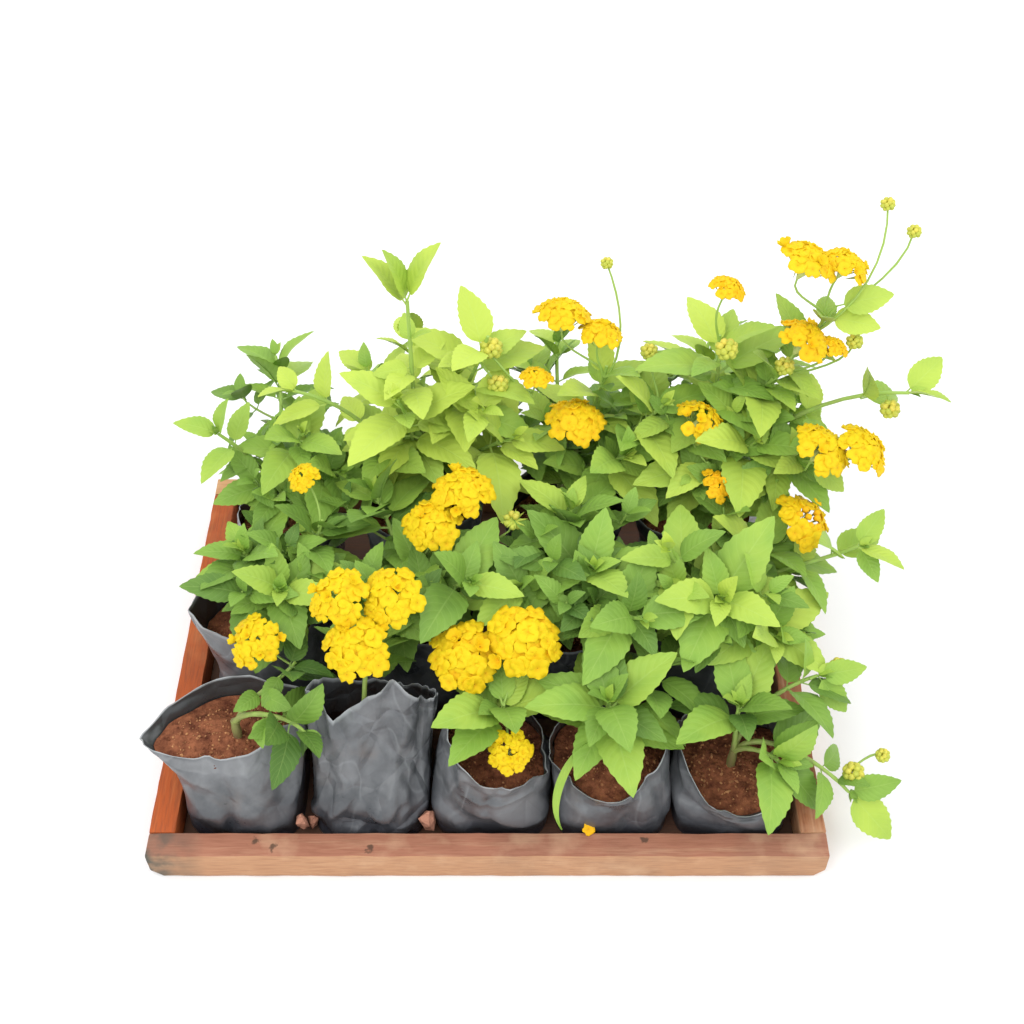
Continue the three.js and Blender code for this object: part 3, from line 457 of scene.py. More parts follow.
# -------- meshes
@dataclass
class Shape:
    """The points and faces of one mesh in the making, with the values that each point carries."""

    points: list[Vector] = field(default_factory=list)
    faces: list[tuple[int, ...]] = field(default_factory=list)
    values: dict[str, list[float]] = field(default_factory=dict)
    chart: list[Pair] = field(default_factory=list)

    def add(self, point: Vector, chart: Pair | None = None, **values: float) -> int:
        """Adds a point.

        Args:
            point: Its place.
            chart: Its place on the UV map, where the mesh has one.
            **values: The numbers that it carries, by name.

        Returns:
            The point's number.
        """
        self.points.append(point)
        if chart is not None:
            self.chart.append(chart)
        for name, value in values.items():
            self.values.setdefault(name, []).append(value)
        return len(self.points) - 1

    def skin(self, rings: Sequence[Sequence[int]], first: int = 0) -> None:
        """Adds the faces from ring to ring.

        Args:
            rings: The points of each ring. A ring of one point closes an end.
            first: The corner that faces start at, so that the two sides of a thin wall fold along
                the same lines.
        """
        count = max(len(ring) for ring in rings)
        for low, high in zip(rings, rings[1:]):
            for i in range(count):
                j = (i + 1) % count
                corners = low[i % len(low)], low[j % len(low)], high[j % len(high)], high[i % len(high)]
                self.faces.append(tuple(dict.fromkeys(corners[first:] + corners[:first])))

    def mesh(self, name: str, scale: float = MM, sharp: float = 50.0) -> Mesh:
        """Makes the mesh.

        Args:
            name: The mesh's name.
            scale: What its points are multiplied by.
            sharp: Edges over this angle, in degrees, stay sharp.

        Returns:
            The mesh, shaded smooth.
        """
        mesh = bpy.data.meshes.new(name)
        mesh.from_pydata([point * scale for point in self.points], [], self.faces)
        for label, numbers in self.values.items():
            mesh.attributes.new(label, "FLOAT", "POINT").data.foreach_set("value", numbers)
        if self.chart:
            layer = mesh.uv_layers.new(name="UVMap")
            for loop, place in zip(mesh.loops, layer.data):
                place.uv = self.chart[loop.vertex_index]
        mesh.shade_smooth()
        mesh.set_sharp_from_angle(angle=radians(sharp))
        return mesh


def worked_mesh(work: bmesh.types.BMesh, name: str) -> Mesh:
    """Stores a mesh that was worked on, and frees the work."""
    mesh = bpy.data.meshes.new(name)
    work.to_mesh(mesh)
    work.free()
    return mesh


def piece_of(name: str, mesh: Mesh, finish: Material | None = None) -> Object:
    """Puts a mesh into the scene as an object.

    Args:
        name: The object's name.
        mesh: Its mesh.
        finish: Its material, unless the mesh has its own.

    Returns:
        The object, at the origin.
    """
    piece = bpy.data.objects.new(name, mesh)
    bpy.context.scene.collection.objects.link(piece)
    if finish is not None:
        mesh.materials.clear()
        mesh.materials.append(finish)
    return piece


# -------- node trees
class Wiring:
    """Adds and links the nodes of one tree by short calls."""

    def __init__(self, tree: NodeTree) -> None:
        """Takes the tree to fill."""
        self.tree = tree

    def add(self, kind: str, inputs: dict[str | int, object] | None = None,
            **settings: object) -> Node:
        """Adds a node.

        Args:
            kind: The node's type.
            inputs: What goes into its inputs, a socket or a plain value, by name or number.
            **settings: The node's own properties.

        Returns:
            The node.
        """
        node = self.tree.nodes.new(kind)
        for name, value in settings.items():
            setattr(node, name, value)
        for name, value in (inputs or {}).items():
            if isinstance(value, NodeSocket):
                self.tree.links.new(value, node.inputs[name])
            else:
                node.inputs[name].default_value = value
        return node


class Finish(Wiring):
    """A material in the making, with the nodes that most finishes need."""

    def __init__(self, name: str, colour: Colour, **sockets: float) -> None:
        """Starts a material.

        Args:
            name: Its name.
            colour: The colour that the others are laid over.
            **sockets: Plain values for the shader's sockets, with _ for a space.
        """
        self.colour: Colour | NodeSocket = colour
        self.material = bpy.data.materials.new(name)
        self.material.use_nodes = True
        super().__init__(self.material.node_tree)
        self.shader = next(node for node in self.tree.nodes if node.type == "BSDF_PRINCIPLED")
        for label, value in sockets.items():
            self.shader.inputs[label.replace("_", " ")].default_value = value
        self.place = self.add("ShaderNodeTexCoord").outputs["Object"]

    def place_axis(self, axis: int) -> NodeSocket:
        """Reads one of the object's own coordinates, in metres."""
        return self.add("ShaderNodeSeparateXYZ", {0: self.place}).outputs[axis]

    def value(self, name: str) -> NodeSocket:
        """Reads a number that the mesh carries."""
        return self.add("ShaderNodeAttribute", attribute_name=name).outputs["Fac"]

    def scaled(self, factors: Triple) -> NodeSocket:
        """Stretches the object's own coordinates."""
        return self.add("ShaderNodeMapping", {"Vector": self.place, "Scale": factors}).outputs[0]

    def speckle(self, scale: float, detail: float = 3.0, place: NodeSocket | None = None,
                rough: float = 0.5) -> NodeSocket:
        """Adds a soft noise, from 0 to 1."""
        inputs = {"Vector": place or self.place, "Scale": scale, "Detail": detail, "Roughness": rough}
        return self.add("ShaderNodeTexNoise", inputs).outputs["Fac"]

    def cells(self, scale: float, feature: str = "F1") -> NodeSocket:
        """Adds a pattern of cells, as the distance from a cell's middle or from its edge."""
        inputs = {"Vector": self.place, "Scale": scale}
        return self.add("ShaderNodeTexVoronoi", inputs, feature=feature).outputs["Distance"]

    def ramp(self, value: NodeSocket, low: float, high: float, floor: float = 0.0,
             top: float = 1.0) -> NodeSocket:
        """Maps a value's range from low to high onto floor to top."""
        inputs = {"Value": value, "From Min": low, "From Max": high, "To Min": floor, "To Max": top}
        return self.add("ShaderNodeMapRange", inputs).outputs[0]

    def sum(self, kind: str, first: object, second: object = 0.5) -> NodeSocket:
        """Does one sum with two numbers or sockets, the second a half unless it is given."""
        return self.add("ShaderNodeMath", {0: first, 1: second}, operation=kind).outputs[0]

    def lay(self, share: NodeSocket, colour: Colour) -> None:
        """Lays a colour over what is there, as far as a share from 0 to 1 says."""
        under = self.colour if isinstance(self.colour, NodeSocket) else (*self.colour, 1.0)
        inputs = {0: share, 6: under, 7: (*colour, 1.0)}
        self.colour = self.add("ShaderNodeMix", inputs, data_type="RGBA").outputs[2]

    def raise_(self, height: NodeSocket, strength: float, distance: float) -> None:
        """Bumps the surface, on top of what is bumped already.

        Args:
            height: How high each place is, from 0 to 1.
            strength: How much of the bump shows.
            distance: How high 1 is, in metres.
        """
        inputs: dict[str | int, object] = {"Height": height, "Strength": strength, "Distance": distance}
        normal = self.shader.inputs["Normal"]
        if normal.is_linked:
            inputs["Normal"] = normal.links[0].from_socket
        self.tree.links.new(self.add("ShaderNodeBump", inputs).outputs[0], normal)

    def done(self, roughness: NodeSocket | None = None) -> Material:
        """Links the colour, and the roughness where it varies, and gives the material."""
        self.tree.links.new(self.colour, self.shader.inputs["Base Color"])
        if roughness is not None:
            self.tree.links.new(roughness, self.shader.inputs["Roughness"])
        return self.material


@dataclass(frozen=True)
class WornWood:
    """Sawn softwood, oiled red and weathered, its grain along X or Y. worn_end is how grey its -X
    end has gone, and each mark is the place and size of a dark knot on its top."""

    along_y: bool = False
    face: Colour = (0.52, 0.28, 0.152)
    top: Colour = (0.4, 0.17, 0.105)
    pale: Colour = (0.72, 0.47, 0.29)
    dark: Colour = (0.19, 0.06, 0.03)
    grey: Colour = (0.085, 0.09, 0.075)
    knot: Colour = (0.07, 0.045, 0.03)
    weathered: float = 0.25
    streaks: float = 0.5
    worn_end: float = 0.0
    marks: tuple[Triple, ...] = ()

    def material(self, name: str) -> Material:
        """Builds the material of that name."""
        paint = Finish(name, self.face, Roughness=0.78, Specular_IOR_Level=0.25)
        stretch = (90.0, 7.0, 90.0) if self.along_y else (7.0, 90.0, 90.0)
        grain = paint.speckle(2.2, 5.0, paint.scaled(stretch), 0.65)
        fibre = paint.speckle(9.0, 2.0, paint.scaled(stretch))
        normal = paint.add("ShaderNodeNewGeometry").outputs["Normal"]
        upward = paint.add("ShaderNodeSeparateXYZ", {0: normal}).outputs[2]
        paint.lay(paint.ramp(upward, 0.3, 0.8), self.top)
        paint.lay(paint.ramp(grain, 0.52, 0.75, 0.0, self.streaks), self.pale)
        paint.lay(paint.ramp(fibre, 0.55, 0.35, 0.0, self.streaks * 0.7), self.dark)
        blotch = paint.speckle(14.0, 4.0)
        paint.lay(paint.ramp(blotch, 0.5, 0.75, 0.0, self.weathered), self.grey)
        wear = paint.ramp(paint.speckle(38.0, 4.0), 0.54, 0.7, 0.0, 0.35)
        paint.lay(wear, self.pale)
        if self.worn_end:
            end = paint.ramp(paint.place_axis(0), -0.172, -0.206, 0.0, self.worn_end)
            patch = paint.ramp(paint.speckle(75.0, 4.0), 0.36, 0.56, 0.35, 1.0)
            paint.lay(paint.sum("MULTIPLY", end, patch), self.grey)
        for x, y, size in self.marks:
            spot = {0: paint.place, 1: (x * MM, y * MM, 0.025)}
            away = paint.add("ShaderNodeVectorMath", spot, operation="DISTANCE").outputs["Value"]
            away = paint.sum("MULTIPLY", away, paint.ramp(paint.speckle(260.0, 2.0), 0.35, 0.65, 0.5, 1.7))
            paint.lay(paint.ramp(away, size * MM, size * MM * 0.5, 0.0, 0.8), self.knot)
        paint.raise_(grain, 0.4, 0.0012)
        paint.raise_(fibre, 0.3, 0.0005)
        return paint.done(paint.ramp(grain, 0.3, 0.8, 0.65, 0.88))


@dataclass(frozen=True)
class BlackFilm:
    """Thin black polythene, crumpled and dusty, with a painted sheen over it, painted shade at its foot,
    and painted highlights along its folds, crease lines and cut rim.
    """

    dark: Colour = (0.055, 0.06, 0.066)
    # A dusty grey that also stands in for the film's sheen: real dust and painted sheen.
    dust_and_sheen: Colour = (0.172, 0.178, 0.186)
    # The dark laid on near the foot: painted shade.
    painted_foot_shade: Colour = (0.018, 0.02, 0.032)
    soil: Colour = (0.19, 0.135, 0.105)
    inner: Colour = (0.045, 0.048, 0.05)
    # pale is the grey of the painted highlights along the folds and the cut rim.
    pale: Colour = (0.4, 0.42, 0.43)

    def material(self, name: str) -> Material:
        """Builds the material of that name."""
        sheen = {"Specular_IOR_Level": 0.55, "Coat_Weight": 0.2, "Coat_Roughness": 0.25}
        paint = Finish(name, self.dark, Roughness=0.36, **sheen)
        # A mottled grey over the black: partly real dust, partly a painted sheen for the bright room that the
        # film reflects.
        dust_and_sheen_mask = paint.ramp(paint.speckle(20.0, 5.0, rough=0.6), 0.38, 0.6)
        paint.lay(dust_and_sheen_mask, self.dust_and_sheen)
        smudge = paint.ramp(paint.speckle(31.0, 4.0), 0.6, 0.75, 0.0, 0.4)
        paint.lay(smudge, self.soil)
        # Thin pale lines along the folds: painted highlights.
        drawn_out = paint.speckle(24.0, 2.0, paint.scaled((1.0, 1.0, 0.55)))
        folded = paint.sum("ABSOLUTE", paint.sum("SUBTRACT", drawn_out))
        paint.lay(paint.ramp(folded, 0.0, 0.018, 0.18, 0.0), self.pale)
        # Painted shade: darker towards the foot, where the rails and the other bags shade it.
        paint.lay(paint.ramp(paint.place_axis(2), 0.046, 0.012, 0.0, 0.9), self.painted_foot_shade)
        paint.lay(paint.value("inside"), self.inner)
        # The cut rim is painted paler: a painted highlight.
        paint.lay(paint.value("edge"), self.pale)
        # The crumpled facets get painted shade away from their crease lines, which stay lighter as painted
        # highlights.
        creases = paint.sum("MULTIPLY", paint.cells(36.0, "DISTANCE_TO_EDGE"), paint.value("crushed"))
        paint.lay(paint.ramp(creases, 0.03, 0.2, 0.0, 0.3), self.dark)
        paint.raise_(creases, 0.9, 0.012)
        paint.raise_(paint.speckle(42.0, 2.0, paint.scaled((1.0, 1.0, 0.6))), 0.7, 0.004)
        paint.raise_(folded, 0.9, 0.0035)
        paint.raise_(paint.speckle(170.0, 2.0), 0.25, 0.0007)
        return paint.done(paint.ramp(dust_and_sheen_mask, 0.0, 1.0, 0.27, 0.48))


@dataclass(frozen=True)
class CocoPeat:
    """Damp red-brown coco peat with orange fibre and crumbs."""

    deep: Colour = (0.1, 0.03, 0.016)
    warm: Colour = (0.33, 0.12, 0.058)
    fibre: Colour = (0.66, 0.33, 0.15)
    bark: Colour = (0.5, 0.235, 0.165)

    def material(self, name: str) -> Material:
        """Builds the material of that name."""
        paint = Finish(name, self.deep, Roughness=0.95, Specular_IOR_Level=0.15)
        crumbly = paint.speckle(120.0, 4.0, rough=0.7)
        paint.lay(paint.ramp(crumbly, 0.35, 0.65), self.warm)
        tint = paint.value("tint")
        paint.lay(paint.ramp(tint, 0.3, 1.0, 0.0, 0.8), self.fibre)
        paint.lay(paint.ramp(tint, 1.1, 1.5, 0.0, 0.9), self.bark)
        paint.raise_(paint.speckle(420.0, 3.0), 0.8, 0.0012)
        paint.raise_(paint.cells(300.0), 0.6, 0.0015)
        return paint.done()


@dataclass(frozen=True)
class LeafGreen:
    """A soft, matt leaf, deep to lime green, with slightly paler veins sunk into its upper face. ribs
    is how many side veins it has, and slant how far they run forwards."""

    ribs: float = 9.0
    slant: float = 4.2
    deep: Colour = (0.085, 0.18, 0.03)
    mid: Colour = (0.245, 0.42, 0.06)
    lime: Colour = (0.49, 0.63, 0.085)
    vein: Colour = (0.5, 0.68, 0.2)
    below: Colour = (0.34, 0.5, 0.16)

    def material(self, name: str) -> Material:
        """Builds the material of that name."""
        paint = Finish(name, self.deep, Roughness=0.55, Specular_IOR_Level=0.3)
        chart = paint.add("ShaderNodeUVMap", uv_map="UVMap").outputs[0]
        axes = paint.add("ShaderNodeSeparateXYZ", {0: chart})
        across = paint.sum("ABSOLUTE", paint.sum("SUBTRACT", axes.outputs[1]))
        along = paint.sum("MULTIPLY", axes.outputs[0], self.ribs)
        ribs = paint.sum("PINGPONG", paint.sum("SUBTRACT", along, paint.sum("MULTIPLY", across, self.slant)))
        side = paint.ramp(ribs, 0.0, 0.09, 0.5, 0.0)
        middle = paint.ramp(across, 0.0, 0.03, 1.0, 0.0)
        veins = paint.sum("MAXIMUM", middle, side)
        # tint holds the leaf's tone with painted light in it: lighter high up, and painted shade deep inside.
        tint = paint.sum("ADD", paint.value("tint"), paint.ramp(paint.speckle(45.0), 0.3, 0.7, -0.1, 0.1))
        paint.lay(paint.ramp(tint, 0.0, 0.5), self.mid)
        paint.lay(paint.ramp(tint, 0.5, 1.0), self.lime)
        paint.lay(paint.sum("MULTIPLY", veins, 0.2), self.vein)
        paint.lay(paint.sum("MULTIPLY", paint.value("under"), 0.5), self.below)
        puffed = paint.sum("SUBTRACT", paint.ramp(ribs, 0.0, 0.5), paint.sum("MULTIPLY", middle, 0.8))
        paint.raise_(puffed, 0.2, 0.0008)
        paint.raise_(paint.speckle(520.0, 1.0), 0.15, 0.0004)
        return paint.done()


@dataclass(frozen=True)
class GreenStem:
    """A young stem, green and finely ridged, brown and woody at its foot."""

    young: Colour = (0.33, 0.5, 0.1)
    woody: Colour = (0.2, 0.13, 0.07)

    def material(self, name: str) -> Material:
        """Builds the material of that name."""
        paint = Finish(name, self.young, Roughness=0.55, Specular_IOR_Level=0.35)
        mottle = paint.speckle(240.0, 3.0, paint.scaled((1.0, 1.0, 0.3)))
        share = paint.sum("ADD", paint.value("age"), paint.ramp(mottle, 0.3, 0.7, -0.18, 0.18))
        paint.lay(paint.ramp(share, 0.0, 1.0), self.woody)
        paint.raise_(mottle, 0.4, 0.0006)
        return paint.done()


@dataclass(frozen=True)
class Petal:
    """Yellow or amber petals round an orange throat, its narrow opening in painted shade, on pale green
    tubes.
    """

    lemon: Colour = (0.79, 0.585, 0.011)
    amber: Colour = (0.86, 0.47, 0.01)
    throat: Colour = (0.72, 0.3, 0.006)
    # The dark of the floret's narrow opening: painted shade.
    eye: Colour = (0.16, 0.06, 0.008)
    green: Colour = (0.55, 0.62, 0.22)

    def material(self, name: str) -> Material:
        """Builds the material of that name."""
        paint = Finish(name, self.lemon, Roughness=0.6, Specular_IOR_Level=0.15)
        tint = paint.sum("ADD", paint.value("tint"), paint.ramp(paint.speckle(90.0), 0.3, 0.7, -0.1, 0.1))
        paint.lay(paint.ramp(tint, 0.0, 1.0), self.amber)
        shade = paint.value("shade")
        paint.lay(paint.ramp(shade, 0.3, 0.85, 0.0, 0.4), self.throat)
        # Painted shade: the floret's narrow opening is dark.
        paint.lay(paint.ramp(shade, 0.86, 1.0, 0.0, 0.8), self.eye)
        paint.lay(paint.ramp(shade, 1.1, 1.5), self.green)
        paint.raise_(paint.speckle(700.0, 2.0), 0.2, 0.0004)
        return paint.done()


@dataclass(frozen=True)
class BudGreen:
    """Closed buds: pale yellow-green knobs, yellower where they are about to open."""

    green: Colour = (0.42, 0.55, 0.07)
    ripe: Colour = (0.82, 0.66, 0.1)
    seam: Colour = (0.2, 0.3, 0.05)

    def material(self, name: str) -> Material:
        """Builds the material of that name."""
        paint = Finish(name, self.green, Roughness=0.6, Specular_IOR_Level=0.3)
        paint.lay(paint.ramp(paint.value("tint"), 0.0, 0.6), self.ripe)
        paint.lay(paint.ramp(paint.speckle(500.0), 0.4, 0.65, 0.0, 0.35), self.seam)
        paint.raise_(paint.speckle(900.0), 0.4, 0.0005)
        return paint.done()


class Paints:
    """Every finish of the planting but the boards', built once."""

    def __init__(self) -> None:
        """Builds them."""
        self.film = BlackFilm().material("black_film")
        self.peat = CocoPeat().material("coco_peat")
        self.leaf = LeafGreen().material("lantana_leaf")
        self.stem = GreenStem().material("lantana_stem")
        self.petal = Petal().material("lantana_petal")
        self.bud = BudGreen().material("lantana_bud")


# -------- geometry nodes
class Grower(Wiring):
    """A Geometry Nodes tree that turns a plan, a mesh of points, into finished geometry."""

    def __init__(self, name: str, sockets: dict[str, str]) -> None:
        """Starts a tree.

        Args:
            name: The tree's name.
            sockets: What its inputs besides the plan take, by name.
        """
        super().__init__(bpy.data.node_groups.new(name, "GeometryNodeTree"))
        face = self.tree.interface
        face.new_socket("Plan", in_out="INPUT", socket_type="NodeSocketGeometry")
        self.inputs = {
            label: face.new_socket(label, in_out="INPUT", socket_type="NodeSocket" + kind).identifier
            for label, kind in sockets.items()
        }
        face.new_socket("Piece", in_out="OUTPUT", socket_type="NodeSocketGeometry")
        self.source = self.add("NodeGroupInput").outputs

    def read(self, name: str, kind: str = "FLOAT") -> NodeSocket:
        """Reads a value that the plan's points carry."""
        return self.add("GeometryNodeInputNamedAttribute", {"Name": name}, data_type=kind).outputs[0]

    def scaled(self, name: str, label: str) -> NodeSocket:
        """Multiplies a value of the plan's points by one of the tree's inputs."""
        factors = {0: self.read(name), 1: self.source[label]}
        return self.add("ShaderNodeMath", factors, operation="MULTIPLY").outputs[0]

    def shapes(self) -> NodeSocket:
        """Reads the shapes of the collection, one by one."""
        return self.add("GeometryNodeCollectionInfo", {
            "Collection": self.source["Shapes"], "Separate Children": True, "Reset Children": True,
        }).outputs[0]

    def close(self, geometry: NodeSocket) -> None:
        """Ends the tree: makes the geometry real faces in their finish."""
        real = self.add("GeometryNodeRealizeInstances", {"Geometry": geometry}).outputs[0]
        dressed = self.add("GeometryNodeSetMaterial", {"Geometry": real, "Material": self.source["Finish"]})
        self.add("NodeGroupOutput", {0: dressed.outputs[0]})

    def grow(self, name: str, plan: Mesh, **values: object) -> Object:
        """Runs the tree on a plan.

        Args:
            name: The new piece's name.
            plan: The mesh of points that it grows from.
            **values: The tree's inputs, by name.

        Returns:
            The piece, as a plain mesh.
        """
        seed = piece_of(name + "_plan", plan)
        modifier = seed.modifiers.new("grow", "NODES")
        modifier.node_group = self.tree
        for label, value in values.items():
            modifier[self.inputs[label]] = value
        graph = bpy.context.evaluated_depsgraph_get()
        grown = seed.evaluated_get(graph)
        mesh = bpy.data.meshes.new_from_object(grown, preserve_all_data_layers=True, depsgraph=graph)
        mesh.name = name
        seed.modifiers.clear()
        bpy.data.objects.remove(seed)
        return piece_of(name, mesh)


class Scatter(Grower):
    """Sets one shape of a collection on every point, turned and sized as the point says."""

    def __init__(self) -> None:
        """Builds the tree."""
        super().__init__("set_on_points", {"Shapes": "Collection", "Size": "Float", "Finish": "Material"})
        turn = self.add("FunctionNodeEulerToRotation", {0: self.read("turn", "FLOAT_VECTOR")})
        placed = self.add("GeometryNodeInstanceOnPoints", {
            "Points": self.source["Plan"], "Instance": self.shapes(), "Pick Instance": True,
            "Instance Index": self.read("kind", "INT"), "Rotation": turn.outputs[0],
            "Scale": self.scaled("grow", "Size"),
        })
        self.close(placed.outputs[0])

    def strew(self, name: str, plan: Plan, shapes: Collection,
              finish: Material) -> Object:
        """Sets out a plan as one piece, with the shapes that it picks from."""
        return self.grow(name, plan.mesh(name), Shapes=shapes, Size=MM, Finish=finish)


class Tubes(Grower):
    """Runs a round stem along every line of the plan, as thick as its points say."""

    def __init__(self) -> None:
        """Builds the tree."""
        super().__init__("run_along_lines", {"Sides": "Int", "Thickness": "Float", "Finish": "Material"})
        lines = self.add("GeometryNodeMeshToCurve", {"Mesh": self.source["Plan"]})
        around = {"Resolution": self.source["Sides"], "Radius": 1.0}
        tube = self.add("GeometryNodeCurveToMesh", {
            "Curve": lines.outputs[0],
            "Profile Curve": self.add("GeometryNodeCurvePrimitiveCircle", around).outputs[0],
            "Scale": self.scaled("thick", "Thickness"), "Fill Caps": True,
        })
        self.close(self.add("GeometryNodeSetShadeSmooth", {"Geometry": tube.outputs[0]}).outputs[0])


class Crumble(Grower):
    """Strews crumbs over the parts of a surface that are marked loose, and keeps the surface."""

    def __init__(self) -> None:
        """Builds the tree."""
        super().__init__("strew_crumbs", {
            "Shapes": "Collection", "Per Metre": "Float", "Smallest": "Float",
            "Largest": "Float", "Seed": "Int", "Finish": "Material",
        })
        marked = {0: self.read("loose"), 1: 0.5}
        spots = self.add("GeometryNodeDistributePointsOnFaces", {
            "Mesh": self.source["Plan"], "Density": self.source["Per Metre"], "Seed": self.source["Seed"],
            "Selection": self.add("FunctionNodeCompare", marked, operation="GREATER_THAN").outputs[0],
        }).outputs[0]
        size = self.any_number("FLOAT", self.source["Smallest"], self.source["Largest"], 1)
        turn = self.any_number("FLOAT_VECTOR", (0.0,) * 3, (6.2,) * 3, 2)
        tint = self.any_number("FLOAT", 0.0, 1.0, 3)
        placed = self.add("GeometryNodeInstanceOnPoints", {
            "Points": spots, "Instance": self.shapes(), "Pick Instance": True,
            "Rotation": self.add("FunctionNodeEulerToRotation", {0: turn}).outputs[0], "Scale": size,
        }).outputs[0]
        tinted = self.add("GeometryNodeStoreNamedAttribute", {
            "Geometry": placed, "Name": "tint", "Value": tint,
        }, data_type="FLOAT", domain="INSTANCE").outputs[0]
        both = self.add("GeometryNodeJoinGeometry")
        for part in (self.source["Plan"], tinted):
            self.tree.links.new(part, both.inputs[0])
        self.close(both.outputs[0])

    def any_number(self, kind: str, low: object, high: object, key: int) -> NodeSocket:
        """Gives every crumb a fixed random number, or three, between two limits."""
        first, output = (2, 1) if kind == "FLOAT" else (0, 0)
        limits = {first: low, first + 1: high, 8: key}
        return self.add("FunctionNodeRandomValue", limits, data_type=kind).outputs[output]


@dataclass
class Plan:
    """Points for a Scatter, in millimetres."""

    shape: Shape = field(default_factory=Shape)
    turns: list[Vector] = field(default_factory=list)
    kinds: list[int] = field(default_factory=list)

    def put(self, at: Vector, axes: Axes, size: float, kind: int, tint: float) -> None:
        """Adds a copy.

        Args:
            at: Where its origin goes.
            axes: The directions of its own X, Y and Z.
            size: How many millimetres a unit of it is.
            kind: Which shape it is.
            tint: The colour value that it carries.
        """
        self.shape.add(at, grow=size, tint=tint)
        self.turns.append(Vector(Matrix(axes).transposed().to_euler()))
        self.kinds.append(kind)

    def mesh(self, name: str) -> Mesh:
        """Makes the mesh of points."""
        mesh = self.shape.mesh(name)
        turns = [value for turn in self.turns for value in turn]
        mesh.attributes.new("turn", "FLOAT_VECTOR", "POINT").data.foreach_set("vector", turns)
        mesh.attributes.new("kind", "INT", "POINT").data.foreach_set("value", self.kinds)
        return mesh


def shelf(name: str, meshes: Sequence[Mesh]) -> Collection:
    """Keeps shapes outside the scene, in order, for a tree to pick from.

    Args:
        name: The collection's name.
        meshes: The shapes.

    Returns:
        The collection.
    """
    collection = bpy.data.collections.new(name)
    for number, mesh in enumerate(meshes):
        collection.objects.link(bpy.data.objects.new(f"{name}_{number:02d}", mesh))
    return collection


# -------- tray
@dataclass(frozen=True)
class Board:
    """One board of the tray: the node it stands for, its length, thickness and height, its place,
    how far its lower corners are worn off, and its finish, which knows whether it runs along Y."""

    node: str
    size: Triple
    place: Pair
    worn: float
    wood: WornWood


